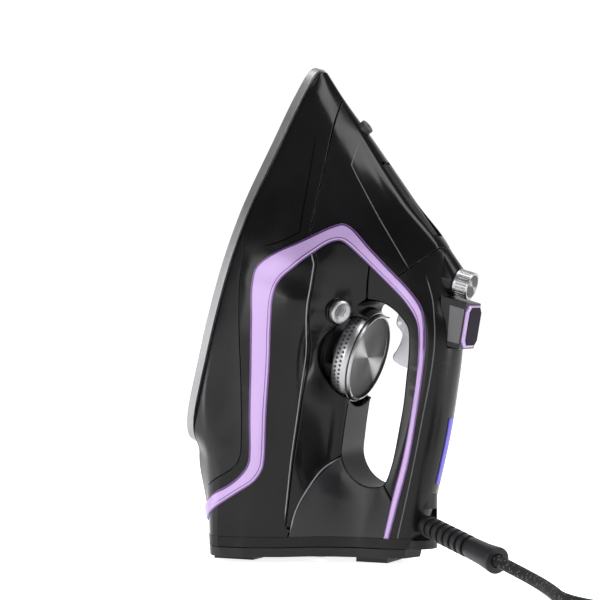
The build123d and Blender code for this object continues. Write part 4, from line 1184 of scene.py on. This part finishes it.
def slab(name, xy, z0, z1, ch, mat, body, o_=FO, ex=FX, ey=np.array([0, 1.0, 0]), ez=FZ):
    xy = np.asarray(xy, float)
    c_ = xy.mean(0)
    d_ = xy - c_
    inner = c_ + d_ * (1 - ch / np.abs(d_).max(0))
    V, F = [], []
    n = len(xy)
    for P_, z in ((xy, z0), (xy, z1 - ch), (inner, z1)):
        for q in P_:
            V.append(o_ + ex * q[0] + ey * q[1] + ez * z)
    for i in range(2):
        for k in range(n):
            k2 = (k + 1) % n
            F.append((i * n + k, i * n + k2, (i + 1) * n + k2, (i + 1) * n + k))
    F.append(tuple(range(2 * n, 3 * n)))
    F.append(tuple(reversed(range(n))))
    o = make_mesh(name, wpt(np.array(V)), F, smooth=False, mat=mat)
    import bmesh
    bm = bmesh.new()
    bm.from_mesh(o.data)
    bmesh.ops.recalc_face_normals(bm, faces=bm.faces)
    bm.to_mesh(o.data)
    bm.free()
    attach(o, body)
    return o


PLATE = [(104.3, 133.1), (124.8, 128.6), (124.9, 137.9), (104.8, 140.3)]


def octo(x0, x1, y0, y1, c):
    return [(x0 + c, y0), (x1 - c, y0), (x1, y0 + c), (x1, y1 - c), (x1 - c, y1), (x0 + c, y1), (x0, y1 - c), (x0, y0 + c)]


bez = slab("display_bezel", octo(-12.4, 12.4, -11.2, 11.2, 3.6), 0.0, 1.6, 0.7, "lilac", "housing")
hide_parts("display_frame")
gls = slab("display_glass", octo(-11.2, 11.4, -10.6, 8.6, 3.0), 1.0, 1.95, 0.25, "screen", "housing")
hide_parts("display_window")
for sd, nm in ((1, "near"), (-1, "far")):
    pl = slab("display_plate_" + nm, PLATE, 0.0, 0.35, 0.12, "plate_grey", "housing", o_=np.array([0, 12.45 * sd, 0]), ex=np.array([1.0, 0, 0]), ey=np.array([0, 0, 1.0]), ez=np.array([0, 1.0 * sd, 0]))
# ramp from the front slope up to the steam knob
import bmesh
bm = bmesh.new()
for cs_, r_, h_ in ((137.7, 9.5, 123.9), (137.7, 9.1, 124.5), (137.7, 9.7, 112.0), (152.0, 7.4, 112.6), (158.6, 5.0, 106.6)):
    for k in range(48):
        a_ = 2 * math.pi * k / 48
        q = wpt(np.array([[cs_ + r_ * math.cos(a_) * (1 if cs_ < 140 else 0.35), r_ * math.sin(a_), h_]]))[0] / 1000
        bm.verts.new(q)
bmesh.ops.convex_hull(bm, input=bm.verts)
me_ = bpy.data.meshes.new("knob_ramp")
bm.to_mesh(me_)
bm.free()
rmp = bpy.data.objects.new("knob_ramp", me_)
bpy.context.scene.collection.objects.link(rmp)
me_.polygons.foreach_set("use_smooth", [True] * len(me_.polygons))
me_.set_sharp_from_angle(angle=math.radians(28))
setmat(rmp, "handle_black")
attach(rmp, "housing")
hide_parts("knob_collar")

# trigger: a curved paddle with rounded edges
TG = smooth_curve([(112, 97.5), (107.5, 96.3), (103.5, 96.8), (101.3, 99.4), (99.3, 102.0), (95.3, 102.5), (89.2, 101.4), (84.9, 100.0), (82.7, 100.8), (81.2, 104.5), (80.5, 110), (81.0, 115.5), (92, 117), (104, 112.5), (111, 105.5)], 5, True)
TG = resample(TG, 0.9)
Tt = np.roll(TG, -1, 0) - np.roll(TG, 1, 0)
Tt /= np.linalg.norm(Tt, axis=1)[:, None]
ar = 0.5 * np.sum(TG[:, 0] * np.roll(TG[:, 1], -1) - np.roll(TG[:, 0], -1) * TG[:, 1])
inw = np.stack([-Tt[:, 1], Tt[:, 0]], 1) * (1 if ar > 0 else -1)
V, F = [], []
lay_ = [(1.0, 6.1), (0.45, 6.0), (0.12, 5.7), (0.0, 5.2), (0.0, -5.2), (0.12, -5.7), (0.45, -6.0), (1.0, -6.1)]
for d_, y_ in lay_:
    for q in range(len(TG)):
        V.append((TG[q, 0] + inw[q, 0] * d_, y_, TG[q, 1] + inw[q, 1] * d_))
n_ = len(TG)
for i in range(len(lay_) - 1):
    for q in range(n_):
        q2 = (q + 1) % n_
        F.append((i * n_ + q, i * n_ + q2, (i + 1) * n_ + q2, (i + 1) * n_ + q))
F.append(tuple(range(n_)))
F.append(tuple(reversed(range((len(lay_) - 1) * n_, len(lay_) * n_))))
tg_o = make_mesh("trigger_paddle", wpt(np.array(V)), F, mat="light_silver")
import bmesh
bm = bmesh.new()
bm.from_mesh(tg_o.data)
bmesh.ops.recalc_face_normals(bm, faces=bm.faces)
bm.to_mesh(tg_o.data)
bm.free()
tg_o.data.set_sharp_from_angle(angle=math.radians(50))
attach(tg_o, "trigger")
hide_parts("steam_trigger")
# cord guard: cut ribs, then a flared sleeve
gp = [(4.2, 6.0), (5.0, 9.0), (5.0, 13.2)]
xg = 13.5
for k in range(7):
    gp += [(4.5, xg), (6.1, xg + 0.1), (6.45, xg + 0.5), (6.45, xg + 3.7), (6.1, xg + 4.1), (4.5, xg + 4.2), (4.5, xg + 6.6)]
    xg += 6.7
gp += [(6.0, xg), (6.3, xg + 0.5), (6.4, xg + 6), (6.6, xg + 14), (7.1, xg + 20), (7.7, 86.5), (7.7, 87.4), (7.3, 87.9), (4.2, 88.0), (3.7, 87.4), (3.6, 80.5)]
guard_o = lathe("guard_sleeve", gp, ball, gdir, "rubber_black", "guard", seg=48, local=False)
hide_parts("cord_guard")

# ------------------------------------------------------------------ CAD nodes: materials and softened edges
rec = frame["record"]
slot_of = {
'lower_shell':'black_gloss','water_tank':'black_gloss','saddle_shell':'black_gloss','handle_lower':'black_satin','handle_top':'black_gloss',
'fill_door':'black_satin','door_hinge_pin':'steel','spray_nozzle':'dark_grey','trim_near':'lilac','trim_far':'lilac','steam_trigger':'light_silver',
'trigger_pin':'steel','light_strip':'violet_light','knob_collar':'dark_grey','steam_knob':'silver','knob_cap':'dark_metal','knob_shaft':'steel','steam_valve':'white_plastic',
'display_housing':'dark_grey','display_window':'screen','display_frame':'lilac','display_board':'board','dial_rim':'silver','dial_face':'dark_metal','dial_hub':'dark_grey',
'dial_marker':'black_satin','dial_collar':'dark_grey','thermostat':'steel','button_sleeve':'dark_grey','clean_button':'silver','clean_rod':'steel',
'soleplate':'sole_metal','heat_skirt':'black_satin','steam_chamber':'cast_alu','heating_element':'steel','element_terminals':'steel','chamber_cover':'cast_alu',
'heat_shield':'steel','drip_valve':'white_plastic','thermal_fuse':'white_plastic','spray_pump':'white_plastic','power_board':'board','terminal_block':'white_plastic',
'lead_bundle':'dark_grey','heel_plate':'black_satin','heel_feet':'rubber_black','swivel_socket':'black_satin','swivel_ball':'black_satin','cord_guard':'rubber_black',
'cord_lead':'braid','cord_coil':'braid','cord_tail':'braid','plug_body':'rubber_black','plug_pins':'nickel','plug_relief':'rubber_black','heel_screws':'steel'}
special = {"dial_face": "spun_dial", "knob_cap": "spun_knob", "dial_rim": "silver", "steam_knob": "silver", "clean_button": "silver",
           "display_window": "screen", "display_frame": "lilac", "display_housing": "black_satin", "light_strip": "violet_light", "soleplate": "sole_metal", "steam_trigger": "light_silver"}
for name, o in NODE.items():
    key = special.get(name) or slot_of.get(name) or "dark_grey"
    if key in ("cord", "flex"):
        key = "braid"
    setmat(o, M.get(key, M["dark_grey"]))
    bv = None
    if name in ("dial_rim", "dial_face", "steam_knob", "knob_cap", "clean_button", "fill_door", "spray_nozzle", "display_housing", "display_frame", "steam_trigger", "heel_plate", "soleplate", "cord_guard", "plug_body", "knob_collar", "dial_collar", "dial_hub"):
        w_ = o.modifiers.new("weld", "WELD")
        w_.merge_threshold = 0.00001
        bv = o.modifiers.new("bev", "BEVEL")
        bv.width = 0.00035 if name not in ("soleplate", "plug_body") else 0.0006
        bv.segments = 2
        bv.limit_method = "ANGLE"
        bv.angle_limit = math.radians(35)
        bv.harden_normals = False
        for p_ in o.data.polygons:
            p_.use_smooth = True
        sm = o.modifiers.new("wn", "WEIGHTED_NORMAL")
        sm.keep_sharp = True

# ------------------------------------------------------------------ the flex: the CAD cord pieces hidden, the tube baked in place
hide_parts("cord_lead", "cord_coil", "cord_tail")
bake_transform(cord)

# ------------------------------------------------------------------ floor, world, lights


def area(name, loc, look, size, power, sy=None, col=(1, 1, 1)):
    d = bpy.data.lights.new(name, "AREA")
    d.shape = "RECTANGLE"
    d.size = size
    d.size_y = sy or size
    d.energy = power
    d.color = col
    o = bpy.data.objects.new(name, d)
    bpy.context.scene.collection.objects.link(o)
    o.location = loc
    o.rotation_euler = (Vector(look) - Vector(loc)).to_track_quat("-Z", "Y").to_euler()
    return o


mf, nt, b = nodes_of("floor")
nz = add_noise(nt, 6.0, 3.0)
nt.links.new(mix_col(nt, ramp(nt, nz.outputs["Fac"], 0, 1), (0.86, 0.86, 0.87), (0.9, 0.9, 0.9)), b.inputs["Base Color"])
nt.links.new(ramp(nt, nz.outputs["Fac"], 0.5, 0.65), b.inputs["Roughness"])
b.inputs["Specular IOR Level"].default_value = 0.1
b.inputs["Emission Color"].default_value = (1, 1, 1, 1)
b.inputs["Emission Strength"].default_value = 0.85
cx, sx = math.sin(AZ), -math.cos(AZ)
fl = make_mesh("floor", np.array([(-6000, -6000, 0), (6000, -6000, 0), (6000, 6000, 0), (-6000, 6000, 0)], float), [(0, 1, 2, 3)], smooth=False, mat=mf)
w = bpy.data.worlds.new("world") if not bpy.data.worlds else bpy.data.worlds[0]
bpy.context.scene.world = w
w.use_nodes = True
wn = w.node_tree
wn.nodes.clear()
wo = wn.nodes.new("ShaderNodeOutputWorld")
bg = wn.nodes.new("ShaderNodeBackground")
wn.links.new(bg.outputs[0], wo.inputs[0])
tcw = wn.nodes.new("ShaderNodeTexCoord")
dt = wn.nodes.new("ShaderNodeVectorMath")
dt.operation = "DOT_PRODUCT"
wn.links.new(tcw.outputs["Generated"], dt.inputs[0])
dt.inputs[1].default_value = (-math.sin(AZ), math.cos(AZ), 0.0)
mr = wn.nodes.new("ShaderNodeMapRange")
mr.inputs["From Min"].default_value = 0.45
mr.inputs["From Max"].default_value = 0.85
mr.inputs["To Min"].default_value = 0.13
mr.inputs["To Max"].default_value = 1.02
wn.links.new(dt.outputs["Value"], mr.inputs["Value"])
wn.links.new(mr.outputs["Result"], bg.inputs[1])
bg.inputs[0].default_value = (1, 1, 1, 1)
TC = Vector((DX, 0, 150)) / 1000
vx = Vector((cx, sx, 0))                    # towards the camera
rx = Vector((math.cos(AZ), math.sin(AZ), 0))    # to the right in the view
area("key", TC + rx * 0.62 + vx * 0.45 + Vector((0, 0, 0.75)), TC, 0.4, 5.5, 0.6)
area("left", TC - rx * 0.8 + vx * 0.1 + Vector((0, 0, 0.15)), TC, 0.22, 4.0, 0.8)
area("right", TC + rx * 0.9 + vx * 0.25 + Vector((0, 0, 0.1)), TC, 0.2, 3.5, 0.7)
area("top", TC + Vector((0, 0, 1.1)), TC, 0.6, 4.5)
area("front_left", Vector((-0.17, -1.3, 0.24)), Vector((-0.05, 0, 0.16)), 0.36, 3.2, 0.5)
bpy.context.scene.view_settings.view_transform = "Standard"
bpy.context.scene.view_settings.look = "None"
